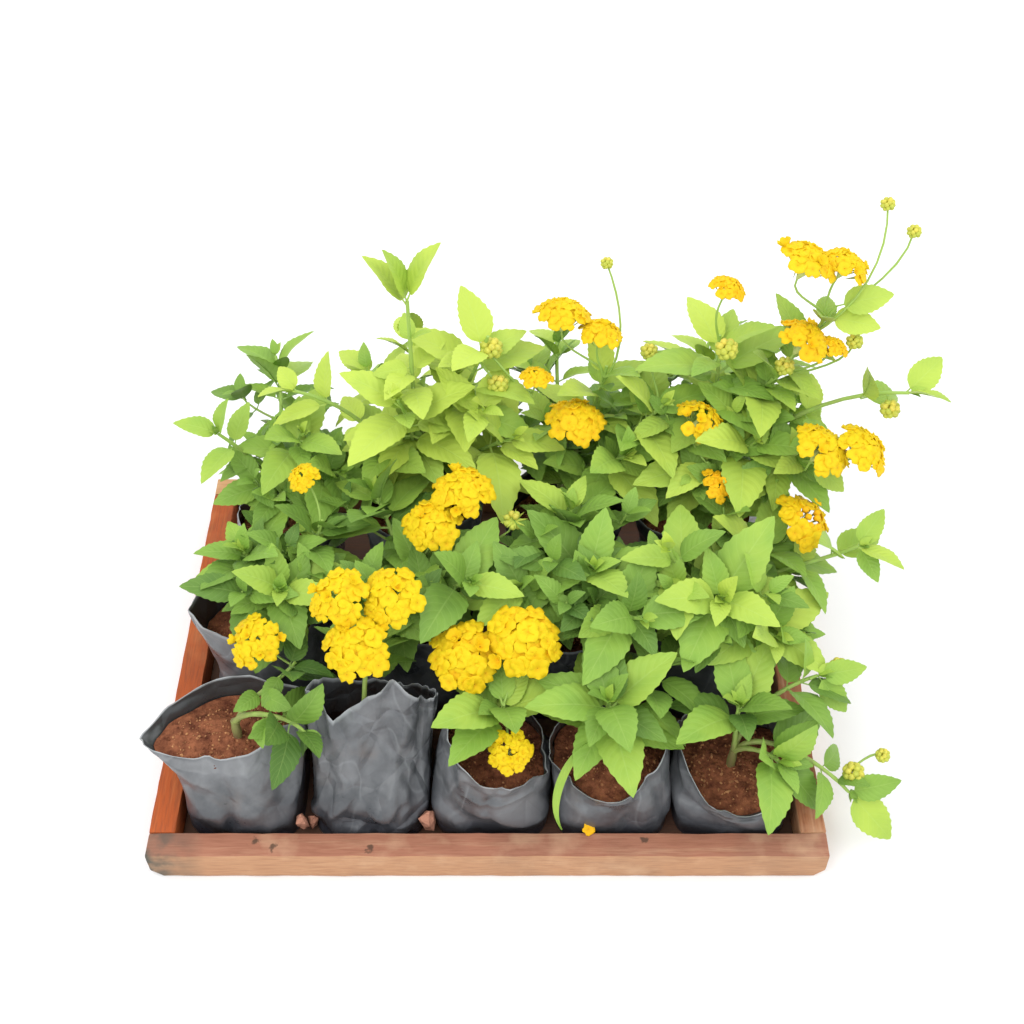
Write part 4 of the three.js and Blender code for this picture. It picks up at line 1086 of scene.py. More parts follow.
@dataclass
class Tray:
    """The shallow wooden tray: a floor and four nailed rails, worn and splintered at their edges."""

    width: float = 416.0
    depth: float = 316.0
    height: float = 25.0
    rail: float = 16.0
    floor: float = 6.0
    gap: float = 0.3
    worn: float = 7.0
    bevel: float = 1.2
    cut: float = 7.0
    layers: int = 4
    rough: float = 0.5
    along_grain: float = 0.06
    across_grain: float = 0.3

    def boards(self) -> list[Board]:
        """Lists the boards."""
        side, end = (self.width - self.rail) / 2, (self.depth - self.rail) / 2
        inside = self.width - 2 * (self.rail + self.gap)
        between = self.depth - 2 * (self.rail + self.gap)
        long = (self.width, self.rail, self.height)
        short = (between, self.rail, self.height)
        knots = ((-142.0, -148.0, 2.8), (-131.0, -151.0, 3.2), (-71.0, -152.0, 3.0), (96.0, -147.0, 2.2))
        front = WornWood(weathered=0.3, streaks=0.35, worn_end=0.95, marks=knots)
        back = WornWood(face=(0.42, 0.19, 0.09), top=(0.6, 0.33, 0.15), streaks=0.3)
        left = WornWood(
            True, face=(0.46, 0.1, 0.025), top=(0.47, 0.1, 0.025), pale=(0.6, 0.22, 0.08), weathered=0.2,
        )
        # The floor is painted near black: painted shade for the dark gaps between the bags and along the
        # rails.
        shaded_floor = WornWood(face=(0.1, 0.05, 0.03), top=(0.1, 0.05, 0.032), pale=(0.17, 0.09, 0.055), streaks=0.3)
        right = WornWood(True, face=(0.56, 0.27, 0.13), top=(0.42, 0.16, 0.07))
        return [
            Board("floor", (inside, between, self.floor), (0.0, 0.0), 0.0, shaded_floor),
            Board("front_rail", long, (0.0, -end), self.worn, front),
            Board("back_rail", long, (0.0, end), self.worn, back),
            Board("left_rail", short, (-side, 0.0), 0.0, left),
            Board("right_rail", short, (side, 0.0), 0.0, right),
        ]

    def saw(self, board: Board) -> Mesh:
        """Makes one board: cut to length, rounded at its edges and roughened.

        Args:
            board: The board.

        Returns:
            Its mesh, in metres.
        """
        length, thickness, height = board.size
        half, worn = length / 2, board.worn
        outline = [(-half, 0.0), (half, 0.0), (half, height), (-half, height)]
        if worn:
            outline = [(worn - half, 0.0), (half - worn, 0.0), (half, worn), *outline[2:], (-half, worn)]
        work = bmesh.new()
        rows = [[work.verts.new((x, y, z)) for x, z in outline] for y in (-thickness / 2, thickness / 2)]
        work.faces.new(rows[0])
        work.faces.new(rows[1][::-1])
        for i, corner in enumerate(rows[0]):
            after = (i + 1) % len(outline)
            work.faces.new((corner, rows[1][i], rows[1][after], rows[0][after]))
        bmesh.ops.recalc_face_normals(work, faces=work.faces)
        bmesh.ops.bevel(work, geom=work.edges[:], offset=self.bevel, segments=2, profile=0.6, affect="EDGES")
        steps = range(1, int(length / self.cut))
        cuts = [((step * self.cut - half, 0.0, 0.0), (1.0, 0.0, 0.0)) for step in steps]
        cuts += [((0.0, 0.0, height * k / self.layers), (0.0, 0.0, 1.0)) for k in range(1, self.layers)]
        for place, normal in cuts:
            parts = work.verts[:] + work.edges[:] + work.faces[:]
            bmesh.ops.bisect_plane(work, geom=parts, plane_co=place, plane_no=normal)
        slow, quick = self.along_grain, self.across_grain
        for vert in work.verts:
            key = Vector((vert.co.x * slow, vert.co.y * quick, vert.co.z * quick))
            key += Vector(board.place).to_3d()
            wave = noise.noise_vector(key) * self.rough + noise.noise_vector(key * 4.0) * self.rough * 0.5
            vert.co += Vector((0.0, wave.y, max(wave.z, -vert.co.z)))
            vert.co.z = max(vert.co.z, 0.0)
        if board.wood.along_y:
            bmesh.ops.rotate(work, verts=work.verts, matrix=Matrix.Rotation(pi / 2, 3, "Z"))
        bmesh.ops.translate(work, verts=work.verts, vec=(*board.place, 0.0))
        bmesh.ops.scale(work, verts=work.verts, vec=(MM, MM, MM))
        mesh = worked_mesh(work, board.node)
        mesh.shade_smooth()
        mesh.set_sharp_from_angle(angle=radians(40))
        return mesh

    def build(self) -> None:
        """Makes every board."""
        for board in self.boards():
            wood = board.wood.material("wood_" + board.node)
            settle(piece_of("board_" + board.node, self.saw(board), wood), Slot.WOOD, ["tray_" + board.node])


# -------- bags and soil
@dataclass(frozen=True)
class Fold:
    """A fold in a bag's side, angles in radians: its direction at half height, how far it slants,
    how deep it goes, or stands out where negative, its half width, and the heights it lies between."""

    direction: float
    slant: float
    depth: float
    width: float
    low: float = 0.0
    high: float = 90.0

    def at(self, angle: float, z: float) -> float:
        """Gives its depth at a place on the plain bag."""
        away = (angle - self.direction - self.slant * (z / RIM_HEIGHT - 0.5) + pi) % tau - pi
        ends = smooth(z, self.low - 6.0, self.low + 8.0) * smooth(z, self.high + 6.0, self.high - 8.0)
        return self.depth * ends * exp(-((away / self.width) ** 2))


# The folds that mark the two foremost bags, and the peaks of their cut edges: direction, height
# and half width.
FOLDS = {
    "front_1": (
        Fold(-1.8, -0.1, 3.2, 0.09), Fold(-1.45, 0.25, -2.6, 0.22), Fold(-2.35, 0.2, -2.0, 0.22),
        Fold(-0.9, 0.0, 2.4, 0.14), Fold(-1.2, 0.3, -1.8, 0.6, 6.0, 22.0),
    ),
    "front_2": (
        Fold(-1.25, 0.6, -4.2, 0.14, 24.0), Fold(-1.62, 0.7, 4.2, 0.2, 20.0),
        Fold(-2.0, 0.5, -3.2, 0.16, 26.0), Fold(-0.8, 0.2, 3.0, 0.12), Fold(-2.35, -0.2, 3.2, 0.14),
        Fold(-1.5, 0.0, 3.4, 0.5, 18.0, 24.0), Fold(-1.55, 0.0, -3.4, 0.6, 4.0, 16.0),
    ),
}
PEAKS = {"front_2": ((-1.3, 10.0, 0.3), (-2.2, -12.0, 0.5), (-0.5, -4.0, 0.4), (1.3, -8.0, 0.9))}


@dataclass
class FilmBag:
    """The film of one bag: thin, crumpled, creased down its sides, with a wavy cut mouth."""

    bag: Bag
    number: int
    around: int = 100
    levels: int = 38
    wall: float = 0.45
    crumple: float = 1.5
    sharp: float = 0.3
    creases: int = 6

    def __post_init__(self) -> None:
        """Draws the folds, gives a bag that hardly shows fewer faces, and crumples one more."""
        if not self.bag.name.startswith("front"):
            self.around, self.levels = 60, 22
        if self.bag.name == "front_2":
            self.crumple, self.sharp = 2.5, 0.8
        drawn = tuple(self.crease((self.number, k)) for k in range(self.creases))
        self.folds = FOLDS.get(self.bag.name, drawn)

    def crease(self, keys: tuple[int, int]) -> Fold:
        """Draws one of the creases round a bag, by the bag's number and its own."""
        direction = tau * (keys[1] + 0.8 * chance(*keys, 1)) / self.creases
        depth, width = mix(1.0, 3.2, chance(*keys, 3)), mix(0.07, 0.16, chance(*keys, 4))
        return Fold(direction, 0.7 * spread(*keys, 2), depth, width, 14.0)

    def dent(self, angle: float, z: float) -> float:
        """Gives how far the film stands out, or in where negative.

        Args:
            angle: Direction round the bag.
            z: Height on the plain bag.

        Returns:
            The distance, in millimetres.
        """
        key = Vector((cos(angle) * 2.0, sin(angle) * 2.0, z * 0.042 + 9.0 * self.number))
        broad = 0.8 - 3.6 * abs(noise.noise(key * 0.8))
        fine = 0.5 - 2.4 * abs(noise.noise(key * 1.9))
        out = self.crumple * (broad + self.sharp * fine) - sum(fold.at(angle, z) for fold in self.folds)
        room = mix(0.35, 3.2, abs(sin(angle)) ** 2) * smooth(z, 0.0, 10.0)
        loose = smooth(z, self.bag.fill - 3.0, self.bag.fill + 8.0)
        deepest = (2.6 + 2.4 * loose) * mix(0.25, 1.0, abs(sin(angle)))
        return min(max(out, -deepest), room) * smooth(z, 0.0, 6.0)

    def rim_lift(self, angle: float) -> float:
        """Gives how far the cut edge rises above the plain rim.

        Args:
            angle: Direction round the bag.

        Returns:
            The height, in millimetres on the plain bag.
        """
        key = Vector((cos(angle) * 1.7, sin(angle) * 1.7, 3.0 * self.number))
        lift = 2.2 * noise.noise(key) + 1.0 * noise.noise(key * 3.0)
        for direction, height, width in PEAKS.get(self.bag.name, ()):
            away = (angle - direction + pi) % tau - pi
            lift += height * exp(-abs(away / width))
        return lift

    def spot(self, angle: float, z: float, inset: float = 0.0) -> Vector:
        """Finds a point of the film.

        Args:
            angle: Direction round the bag.
            z: Height on the plain bag.
            inset: How far inside the film's outer face it is.

        Returns:
            The point, in millimetres.
        """
        radius, height = film_radius(z), max(z, inset)
        before, after = (self.bag.spot(radius, angle + aside, height) for aside in (-0.02, 0.02))
        out = (after - before).cross(UP).normalized()
        return self.bag.spot(radius, angle, height) + out * (self.dent(angle, z) - inset)

    def build(self, film: Material) -> None:
        """Makes the bag in its finish."""
        shape = Shape()
        angles = [tau * i / self.around for i in range(self.around)]

        def ring(level: float, inset: float) -> list[int]:
            """Adds the ring at a share of the height, that far inside."""
            corners = []
            # edge marks the top of the cut rim, which the finish paints paler as a painted highlight.
            edge = 0.9 * smooth(level, 0.985, 1.0)
            look = {"inside": float(inset > 0.0), "edge": edge, "crushed": self.sharp}
            for angle in angles:
                z = level * (RIM_HEIGHT + self.rim_lift(angle))
                corners.append(shape.add(self.spot(angle, z, inset), **look))
            return corners

        shares = [i / self.levels for i in range(self.levels + 1)]
        foot = [shape.add(self.bag.spot(0.0, 0.0, 0.0), inside=0.0, edge=0.0, crushed=0.0)]
        outside = [ring(share, 0.0) for share in shares]
        inside = [ring(share, self.wall) for share in reversed(shares)]
        bottom = [shape.add(self.bag.spot(0.0, 0.0, self.wall), inside=1.0, edge=0.0, crushed=0.0)]
        shape.skin([foot, *outside])
        shape.skin([outside[-1], *inside, bottom], 1)
        mesh = shape.mesh("film_" + self.bag.name, sharp=75.0)
        settle(piece_of(mesh.name, mesh, film), Slot.FILM, ["bag_" + self.bag.name])


@dataclass
class PeatPlug:
    """The soil in one bag: a settled, lumpy mound with loose crumbs on top."""

    film: FilmBag
    around: int = 56
    rings: int = 15
    lump: float = 1.6
    rough: float = 1.7
    hidden: float = 6.4
    crumbs: float = 110000.0
    smallest: float = 0.45
    largest: float = 1.6

    def top(self, share: float, angle: float) -> Vector:
        """Finds a point of the soil's surface.

        Args:
            share: Its share of the way from the middle to the film.
            angle: Its direction.

        Returns:
            The point, in millimetres.
        """
        bag = self.film.bag
        reach = film_radius(bag.fill)
        radius = share * reach
        edge = self.film.spot(angle, bag.fill, self.film.wall + 0.7) - bag.spot(reach, angle, bag.fill)
        spot = bag.spot(radius, angle, bag.fill) + edge * share**3
        lump = self.lump * sin(3.0 * angle + self.film.number)
        lump = lump * smooth(radius, 4.0, 20.0) * smooth(share, 1.0, 0.82)
        grain = noise.fractal(spot * 0.12, 0.9, 2.1, 4) * self.rough * smooth(share, 1.0, 0.9)
        return spot + UP * (MOUND * (1.0 - share) + lump + grain)

    def build(self, crumble: Crumble, crumbs: Collection, peat: Material) -> None:
        """Makes the soil and strews its crumbs."""
        shape, bag = Shape(), self.film.bag
        angles = [tau * i / self.around for i in range(self.around)]

        def wall(z: float) -> list[int]:
            """Adds a ring of the hidden side."""
            reach = film_radius(z) - self.hidden
            return [shape.add(bag.spot(reach, a, z), tint=0.2, loose=0.0) for a in angles]

        foot = [shape.add(bag.spot(0.0, 0.0, SOIL_INSET), tint=0.2, loose=0.0)]
        sides = [wall(z) for z in (SOIL_INSET, BELLY_HEIGHT, bag.fill - 5.0)]
        surface = [
            [shape.add(self.top(1.0 - k / self.rings, a), tint=0.25, loose=float(k > 2)) for a in angles]
            for k in range(self.rings)
        ]
        middle = [shape.add(self.top(0.0, 0.0), tint=0.25, loose=1.0)]
        shape.skin([foot, *sides, *surface, middle])
        name = "peat_" + bag.name
        plan = shape.mesh(name)
        values = {"Per Metre": self.crumbs, "Smallest": self.smallest * MM, "Largest": self.largest * MM}
        piece = crumble.grow(name, plan, **values, Shapes=crumbs, Seed=self.film.number, Finish=peat)
        settle(piece, Slot.SOIL, ["soil_" + bag.name])


def crumb_shapes() -> list[Mesh]:
    """Makes a few angular crumbs, a unit across."""
    meshes = []
    for number in range(4):
        work = bmesh.new()
        bmesh.ops.create_icosphere(work, subdivisions=1, radius=1.0)
        for vert in work.verts:
            vert.co *= 0.75 + 0.5 * noise.noise(vert.co * 2.0 + Vector((number * 5.0, 0.0, 0.0)))
        size = (1.5 if number == SPLINTER else 1.0, 0.9, 0.45 + 0.15 * number)
        bmesh.ops.scale(work, verts=work.verts, vec=size)
        mesh = worked_mesh(work, "crumb")
        mesh.attributes.new("loose", "FLOAT", "POINT")
        meshes.append(mesh)
    return meshes


# -------- how the plants grew
@dataclass(frozen=True)
class Bend:
    """A cubic curve by its four corners."""

    corners: tuple[Vector, Vector, Vector, Vector]

    @staticmethod
    def between(start: Vector, leave: Vector, end: Vector, arrive: Vector, bow: Pair) -> Bend:
        """Bends from one place and heading to another.

        Args:
            start: Where it starts.
            leave: Its heading there, as long as it holds.
            end: Where it ends.
            arrive: Its heading there.
            bow: How far its middle is bowed sideways and up.

        Returns:
            The curve.
        """
        flat = Vector((end.y - start.y, start.x - end.x, 0.0)).normalized()
        shift = flat * bow[0] + UP * bow[1]
        return Bend((start, start + leave + shift, end - arrive + shift, end))

    @staticmethod
    def straight(start: Vector, end: Vector) -> Bend:
        """Runs straight from one place to another."""
        return Bend((start, start.lerp(end, 1 / 3), start.lerp(end, 2 / 3), end))

    def point(self, t: float) -> Vector:
        """Gives the point at t, from 0 to 1."""
        a, b, c, d = self.corners
        s = 1.0 - t
        return a * s**3 + b * (3 * s * s * t) + c * (3 * s * t * t) + d * t**3

    def small_steps(self) -> list[float]:
        """Measures the curve in many small steps."""
        fine = [self.point(i / FINE) for i in range(FINE + 1)]
        return [(b - a).length for a, b in zip(fine, fine[1:])]

    def spaced(self, count: int) -> list[Vector]:
        """Divides the curve into pieces of equal length.

        Args:
            count: How many.

        Returns:
            Their ends, one more than the pieces.
        """
        run = [0.0, *accumulate(self.small_steps())]
        spots, i = [], 0
        for k in range(count + 1):
            goal = run[-1] * k / count
            while i < FINE - 1 and run[i + 1] < goal:
                i += 1
            spots.append(self.point((i + (goal - run[i]) / max(run[i + 1] - run[i], 1e-9)) / FINE))
        return spots

    def steps(self) -> int:
        """Gives how many straight pieces its solid has."""
        length = sum(self.small_steps())
        return 2 if length < SHORT_STEM else 3 if length < MIDDLE_STEM else 4


@dataclass(frozen=True)
class Stem:
    """A stem: its plant, its curve, how many straight pieces its solid has, and its radius."""

    plant: str
    curve: Bend
    pieces: int
    radius: float

    def on(self, share: float) -> tuple[Vector, Vector]:
        """Finds a place on the solid stem.

        Args:
            share: Its share of the stem's length.

        Returns:
            The place, and the stem's direction there.
        """
        points = self.curve.spaced(self.pieces)
        step = min(int(share * self.pieces), self.pieces - 1)
        a, b = points[step], points[step + 1]
        return a.lerp(b, share * self.pieces - step), (b - a).normalized()


@dataclass(frozen=True)
class Leaf:
    """A leaf: where it leaves its stem, its axes along, across and up, its length and its droop."""

    at: Vector
    axes: Axes
    length: float
    bend: float

    def tip(self) -> Vector:
        """Gives the leaf's tip."""
        along, _, face = self.axes
        return self.at + along * (self.length - LEAF_SUNK) + face * (self.length * (LEAF_RISE - self.bend))

    def middle(self) -> Vector:
        """Gives the middle of the blade."""
        along, _, face = self.axes
        return self.at + along * (0.5 * self.length) + face * (self.length * (LEAF_RISE - self.bend / 2) / 2)


def leaf_axes(heading: Vector, turn: float, opening: float) -> Axes:
    """Turns a leaf about its stem.

    Args:
        heading: The stem's direction.
        turn: Degrees round it.
        opening: Degrees away from it.

    Returns:
        The directions along the leaf, across it, and out of its upper face.
    """
    guide = Vector((0.0, 1.0, 0.0)) if abs(heading.z) > 0.9 else UP
    e1 = guide.cross(heading).normalized()
    e2 = heading.cross(e1)
    out = e1 * cos(radians(turn)) + e2 * sin(radians(turn))
    out.z *= 0.4 if out.z < 0 else 0.8
    out.normalize()
    along = (out * sin(radians(opening)) + heading * cos(radians(opening))).normalized()
    face = heading * 0.45 + UP * 0.6
    face = (face - along * face.dot(along)).normalized()
    return along, face.cross(along), face


def pairs_between(shoot: Shoot) -> Sequence[Triple]:
    """Gives the pairs that only this dressing has on a shoot."""
    return BETWEEN[shoot.habit][:SPARSE.get(shoot.plant, 9)]


def leaf_pairs(stem: Stem, pairs: Sequence[Triple], turn: float, length: float,
               key: int) -> list[Leaf]:
    """Sets pairs of leaves on a stem, each square to the one above it.

    Args:
        stem: The stem.
        pairs: Share of the stem, share of the length and opening in degrees of each.
        turn: The first pair's turn, in degrees.
        length: The longest leaf.
        key: The stem's number, for what varies.

    Returns:
        The leaves.
    """
    leaves = []
    for pair, (share, size, opening) in enumerate(pairs):
        at, heading = stem.on(share)
        for side in (0, 1):
            keys = (key, pair, side)
            around = turn + 90 * pair + 180 * side + 16 * spread(*keys, 11)
            axes = leaf_axes(heading, around, opening + 10 * spread(*keys, 12))
            long = length * size * (1 + 0.12 * spread(*keys, 13))
            leaves.append(Leaf(at, axes, long, LEAF_DROOP * (0.8 + 0.4 * chance(*keys, 14))))
    return leaves


class Growth:
    """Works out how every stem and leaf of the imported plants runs."""

    def __init__(self, nodes: dict[str, Object]) -> None:
        """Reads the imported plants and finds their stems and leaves."""
        plants = ((name, node) for name, node in nodes.items() if name.startswith("plant_"))
        self.corners = {name.removeprefix("plant_"): self.corner_tree(node) for name, node in plants}
        self.bags = {bag.name: bag for bag in BAGS}
        self.shoots = [self.shoot(index) for index in range(len(SHOOTS))]
        self.stalks = list(self.find_stalks())
        self.flowering = {head.shoot for head in HEADS}

    @staticmethod
    def corner_tree(node: Object) -> KDTree:
        """Gathers a solid's corners, in millimetres, to look up the nearest."""
        tree = KDTree(len(node.data.vertices))
        for vert in node.data.vertices:
            tree.insert(vert.co / MM, vert.index)
        tree.balance()
        return tree

    def stem(self, plant: str, radius: float, curve_for: Callable[[Pair], Bend]) -> Stem:
        """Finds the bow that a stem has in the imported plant.

        Args:
            plant: The plant.
            radius: The stem's radius.
            curve_for: Gives the stem's curve for a bow.

        Returns:
            The stem.
        """
        corners = self.corners[plant]

        def miss(curve: Bend) -> float:
            """Gives how badly the solid's corners fit round the curve's inner points."""
            inner = curve.spaced(curve.steps())[1:-1]
            gaps = [abs(found[2] - radius) for point in inner for found in corners.find_n(point, 3)]
            return sum(gaps) / len(gaps)

        curves = [curve_for(bow) for bow in BOWS]
        best = min(curves, key=miss)
        if radius == STALK_RADIUS and miss(best) > 0.25:
            start, end = curves[0].corners[0], curves[0].corners[3]
            return Stem(plant, Bend.straight(start, end), 1, radius)
        return Stem(plant, best, best.steps(), radius)

    def shoot(self, index: int) -> Stem:
        """Finds one leafy shoot."""
        shoot = SHOOTS[index]
        start = self.bags[shoot.plant].over_soil(TRUNK_HEIGHT * (0.35 + 0.5 * chance(index, 7)))
        tip = Vector(shoot.tip)
        reach = (tip - start).length
        leave = Vector(((tip.x - start.x) * LEAVE_OUT, (tip.y - start.y) * LEAVE_OUT, reach * LEAVE_UP))
        arrive = Vector(shoot.aim).normalized() * (reach * ARRIVE)
        return self.stem(shoot.plant, STEM_RADIUS, lambda bow: Bend.between(start, leave, tip, arrive, bow))

    def find_stalks(self) -> Iterator[Stem]:
        """Finds the stalks of the heads, then those of the buds."""
        used = [0] * len(SHOOTS)
        for item in (*HEADS, *BUDS):
            head = isinstance(item, Head)
            share = item.leaves_at if head else None
            if share is None:
                share = STALK_AT - STALK_NEXT * used[item.shoot]
                used[item.shoot] += 1
            axis = head_axis(item.at) if head else UP
            seat = Vector(item.at) - axis * (SEAT * item.width + SEAT_GAP if head else 0.0)
            at, heading = self.shoots[item.shoot].on(share)
            reach = (seat - at).length
            leave, arrive = heading * (reach * 0.3), axis * (reach * 0.4)
            yield self.stem(
                SHOOTS[item.shoot].plant, STALK_RADIUS,
                lambda bow, a=at, l=leave, s=seat, r=arrive: Bend.between(a, l, s, r, bow),
            )

    def solid_leaves(self, index: int) -> list[Leaf]:
        """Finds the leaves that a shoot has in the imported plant."""
        shoot, stem = SHOOTS[index], self.shoots[index]
        corners = self.corners[shoot.plant]
        leaves = []
        for pair in range(int(index in self.flowering or shoot.habit == "slender"), shoot.pairs):
            share, size, opening = HABITS[shoot.habit][pair]
            at, heading = stem.on(share)
            for side in (0, 1):
                keys = (index, pair, side)
                turn = shoot.turn + 90 * pair + 180 * side + 12 * spread(*keys, 1)
                angle = opening + 9 * spread(*keys, 2)
                length = shoot.leaf * size * (1 + 0.1 * spread(*keys, 3))
                bend = LEAF_DROOP * (0.75 + 0.5 * chance(*keys, 4))
                tries = (
                    Leaf(at, leaf_axes(heading, turn + swing, angle + lift), length * small, bend)
                    for lift, small in LIFTS for swing in SWINGS
                )
                found = next((leaf for leaf in tries if corners.find(leaf.tip())[2] < 0.06), None)
                if found:
                    leaves.append(found)
        return leaves

    def extra_leaves(self, index: int) -> list[Leaf]:
        """Adds smaller pairs between the others, and the young leaves of a tip without flowers."""
        shoot, stem = SHOOTS[index], self.shoots[index]
        leaves = leaf_pairs(stem, pairs_between(shoot), shoot.turn + 45.0, shoot.leaf, index)
        at, heading = stem.on(1.0)
        for side in range(0 if index in self.flowering or shoot.habit == "slender" else 4):
            axes = leaf_axes(heading, shoot.turn + 90 * side + 20, 16.0 + 6 * side)
            leaves.append(Leaf(at, axes, shoot.leaf * (0.26 - 0.03 * side), LEAF_DROOP * 0.75))
        for share, reach, roll in REACHING.get(index, ()):
            along = Vector(reach).normalized()
            face = (SHOWN - along * SHOWN.dot(along)).normalized()
            face = face * cos(radians(roll)) + along.cross(face) * sin(radians(roll))
            axes = (along, face.cross(along), face)
            leaves.append(Leaf(stem.on(share)[0], axes, Vector(reach).length, LEAF_DROOP * 0.8))
        return leaves

    def twigs(self, index: int) -> list[tuple[Stem, list[Leaf]]]:
        """Adds short leafy side shoots low on a bushy shoot behind the front row, to fill the inside."""
        shoot, stem = SHOOTS[index], self.shoots[index]
        grown = []
        full = shoot.habit == "bushy" and shoot.plant not in SPARSE
        for k, share in enumerate((0.3, 0.45, 0.6) if full else ()):
            at, heading = stem.on(share)
            turn = shoot.turn + 137.5 * k + 70.0 * chance(index, k, 61)
            along = leaf_axes(heading, turn, 64.0)[0]
            reach = mix(22.0, 40.0, chance(index, k, 62))
            end = at + along * reach + UP * (0.3 * reach)
            curve = Bend.between(at, along * (0.4 * reach), end, UP * (0.3 * reach), (0, 0))
            twig = Stem(shoot.plant, curve, 3, STALK_RADIUS)
            size = mix(30.0, 42.0, chance(index, k, 63))
            grown.append((twig, leaf_pairs(twig, TWIG, turn, size, 100 + 3 * index + k)))
        return grown


# -------- leaves
@dataclass(frozen=True)
class LeafForm:
    """The shape of one leaf, a unit long along X, its upper face to +Z: droop, twist and seed."""

    droop: float
    seed: int
    stations: int = 17
    stalk: float = 0.12
    half: float = 0.262
    thick: float = 0.008
    puff: float = 0.02
    tooth: float = 0.07

    def lift(self, share: float, across: float) -> float:
        """Gives the height of the blade at a place."""
        wave = 0.014 * sin(11.0 * share + self.seed * 2.1) * (abs(across) / self.half) ** 2
        return (LEAF_RISE - self.droop * share) * share + LEAF_FOLD * abs(across) + wave

    def width(self, share: float) -> float:
        """Gives half the blade's width at a share of the length."""
        t = min(max((share - self.stalk) / (1.0 - self.stalk), 0.0), 1.0)
        return self.half * t**0.52 * (1.0 - t) ** 0.94 / 0.386

    def spot(self, share: float, column: float) -> Vector:
        """Finds a point of the upper face.

        Args:
            share: Its share of the leaf's length.
            column: Where it is from one edge, at -1, to the other, at 1.

        Returns:
            The point.
        """
        step = (share - self.stalk) / (1.0 - self.stalk) * self.stations
        edge = abs(column) > 0.9
        toothed = 1.0 - self.tooth * (round(step) % 2) if edge else 1.0
        across = self.width(share) * column * toothed
        bend = 0.03 * sin(self.seed * 1.7) * share * share
        ahead = 0.01 if edge and round(step) % 2 == 0 else 0.0
        swell = self.puff * (1.0 - (2.0 * abs(column) - 1.0) ** 2) if not edge else 0.0
        high = self.lift(share, across) + swell * self.width(share) / self.half
        return Vector((share + ahead, across + bend, high))

    def mesh(self) -> Mesh:
        """Makes the leaf: a toothed, folded, puckered blade, its midrib below, and its stalk."""
        shape = Shape()
        columns = (-1.0, -0.5, 0.0, 0.5, 1.0)

        def put(place: Vector, share: float, column: float, under: float) -> int:
            """Adds a point of the blade."""
            return shape.add(place, (share, 0.5 + 0.5 * column), under=under)

        shares = [mix(self.stalk, 1.0, k / self.stations) for k in range(1, self.stations)]
        base = put(self.spot(self.stalk, 0.0), self.stalk, 0.0, 0.0)
        tip = put(self.spot(1.0, 0.0), 1.0, 0.0, 0.0)
        upper = [[put(self.spot(share, c), share, c, 0.0) for c in columns] for share in shares]
        deep = Vector((0.0, 0.0, self.thick))
        lower = [put(self.spot(share, 0.0) - deep, share, 0.0, 1.0) for share in shares]
        for row, after in zip(upper, upper[1:]):
            shape.faces.extend((row[i], after[i], after[i + 1], row[i + 1]) for i in range(4))
        for k in range(len(shares) - 1):
            row, after = upper[k], upper[k + 1]
            shape.faces.append((row[0], lower[k], lower[k + 1], after[0]))
            shape.faces.append((row[4], after[4], lower[k + 1], lower[k]))
        first, last = upper[0], upper[-1]
        shape.faces.extend((base, first[i], first[i + 1]) for i in range(4))
        shape.faces.extend((tip, last[i + 1], last[i]) for i in range(4))
        shape.faces += [(base, lower[0], first[0]), (base, first[4], lower[0])]
        shape.faces += [(tip, last[0], lower[-1]), (tip, lower[-1], last[4])]
        rings = []
        for share, thick in ((0.0, 0.017), (0.14, 0.014), (0.4, 0.011), (0.72, 0.006)):
            middle = self.spot(share, 0.0) if share > self.stalk else UP * (LEAF_RISE * share)
            middle = Vector((share, middle.y, middle.z - self.thick - 0.004 if share else 0.0))
            rings.append([
                put(middle + Vector((0.0, sin(a), cos(a))) * thick, share, 0.0, 0.6)
                for a in (0.0, -tau / 3, tau / 3)
            ])
        foot = put(Vector((-0.01, 0.0, 0.0)), 0.0, 0.0, 0.6)
        end = put(self.spot(0.8, 0.0) - deep, 0.8, 0.0, 0.6)
        shape.skin([[foot], *rings, [end]])
        return shape.mesh("leaf", 1.0, 60.0)


def blockers(nodes: dict[str, Object]) -> BVHTree:
    """Gathers what an extra leaf has to stay clear of.

    Args:
        nodes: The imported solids, by name.

    Returns:
        The bags, blooms and tray, in millimetres.
    """
    points, faces = [], []
    for node in nodes.values():
        if not node.name.startswith(("bag_", "bloom_", "tray_")):
            continue
        first = len(points)
        points.extend(vert.co / MM for vert in node.data.vertices)
        faces.extend(tuple(first + i for i in face.vertices) for face in node.data.polygons)
    return BVHTree.FromPolygons(points, faces)


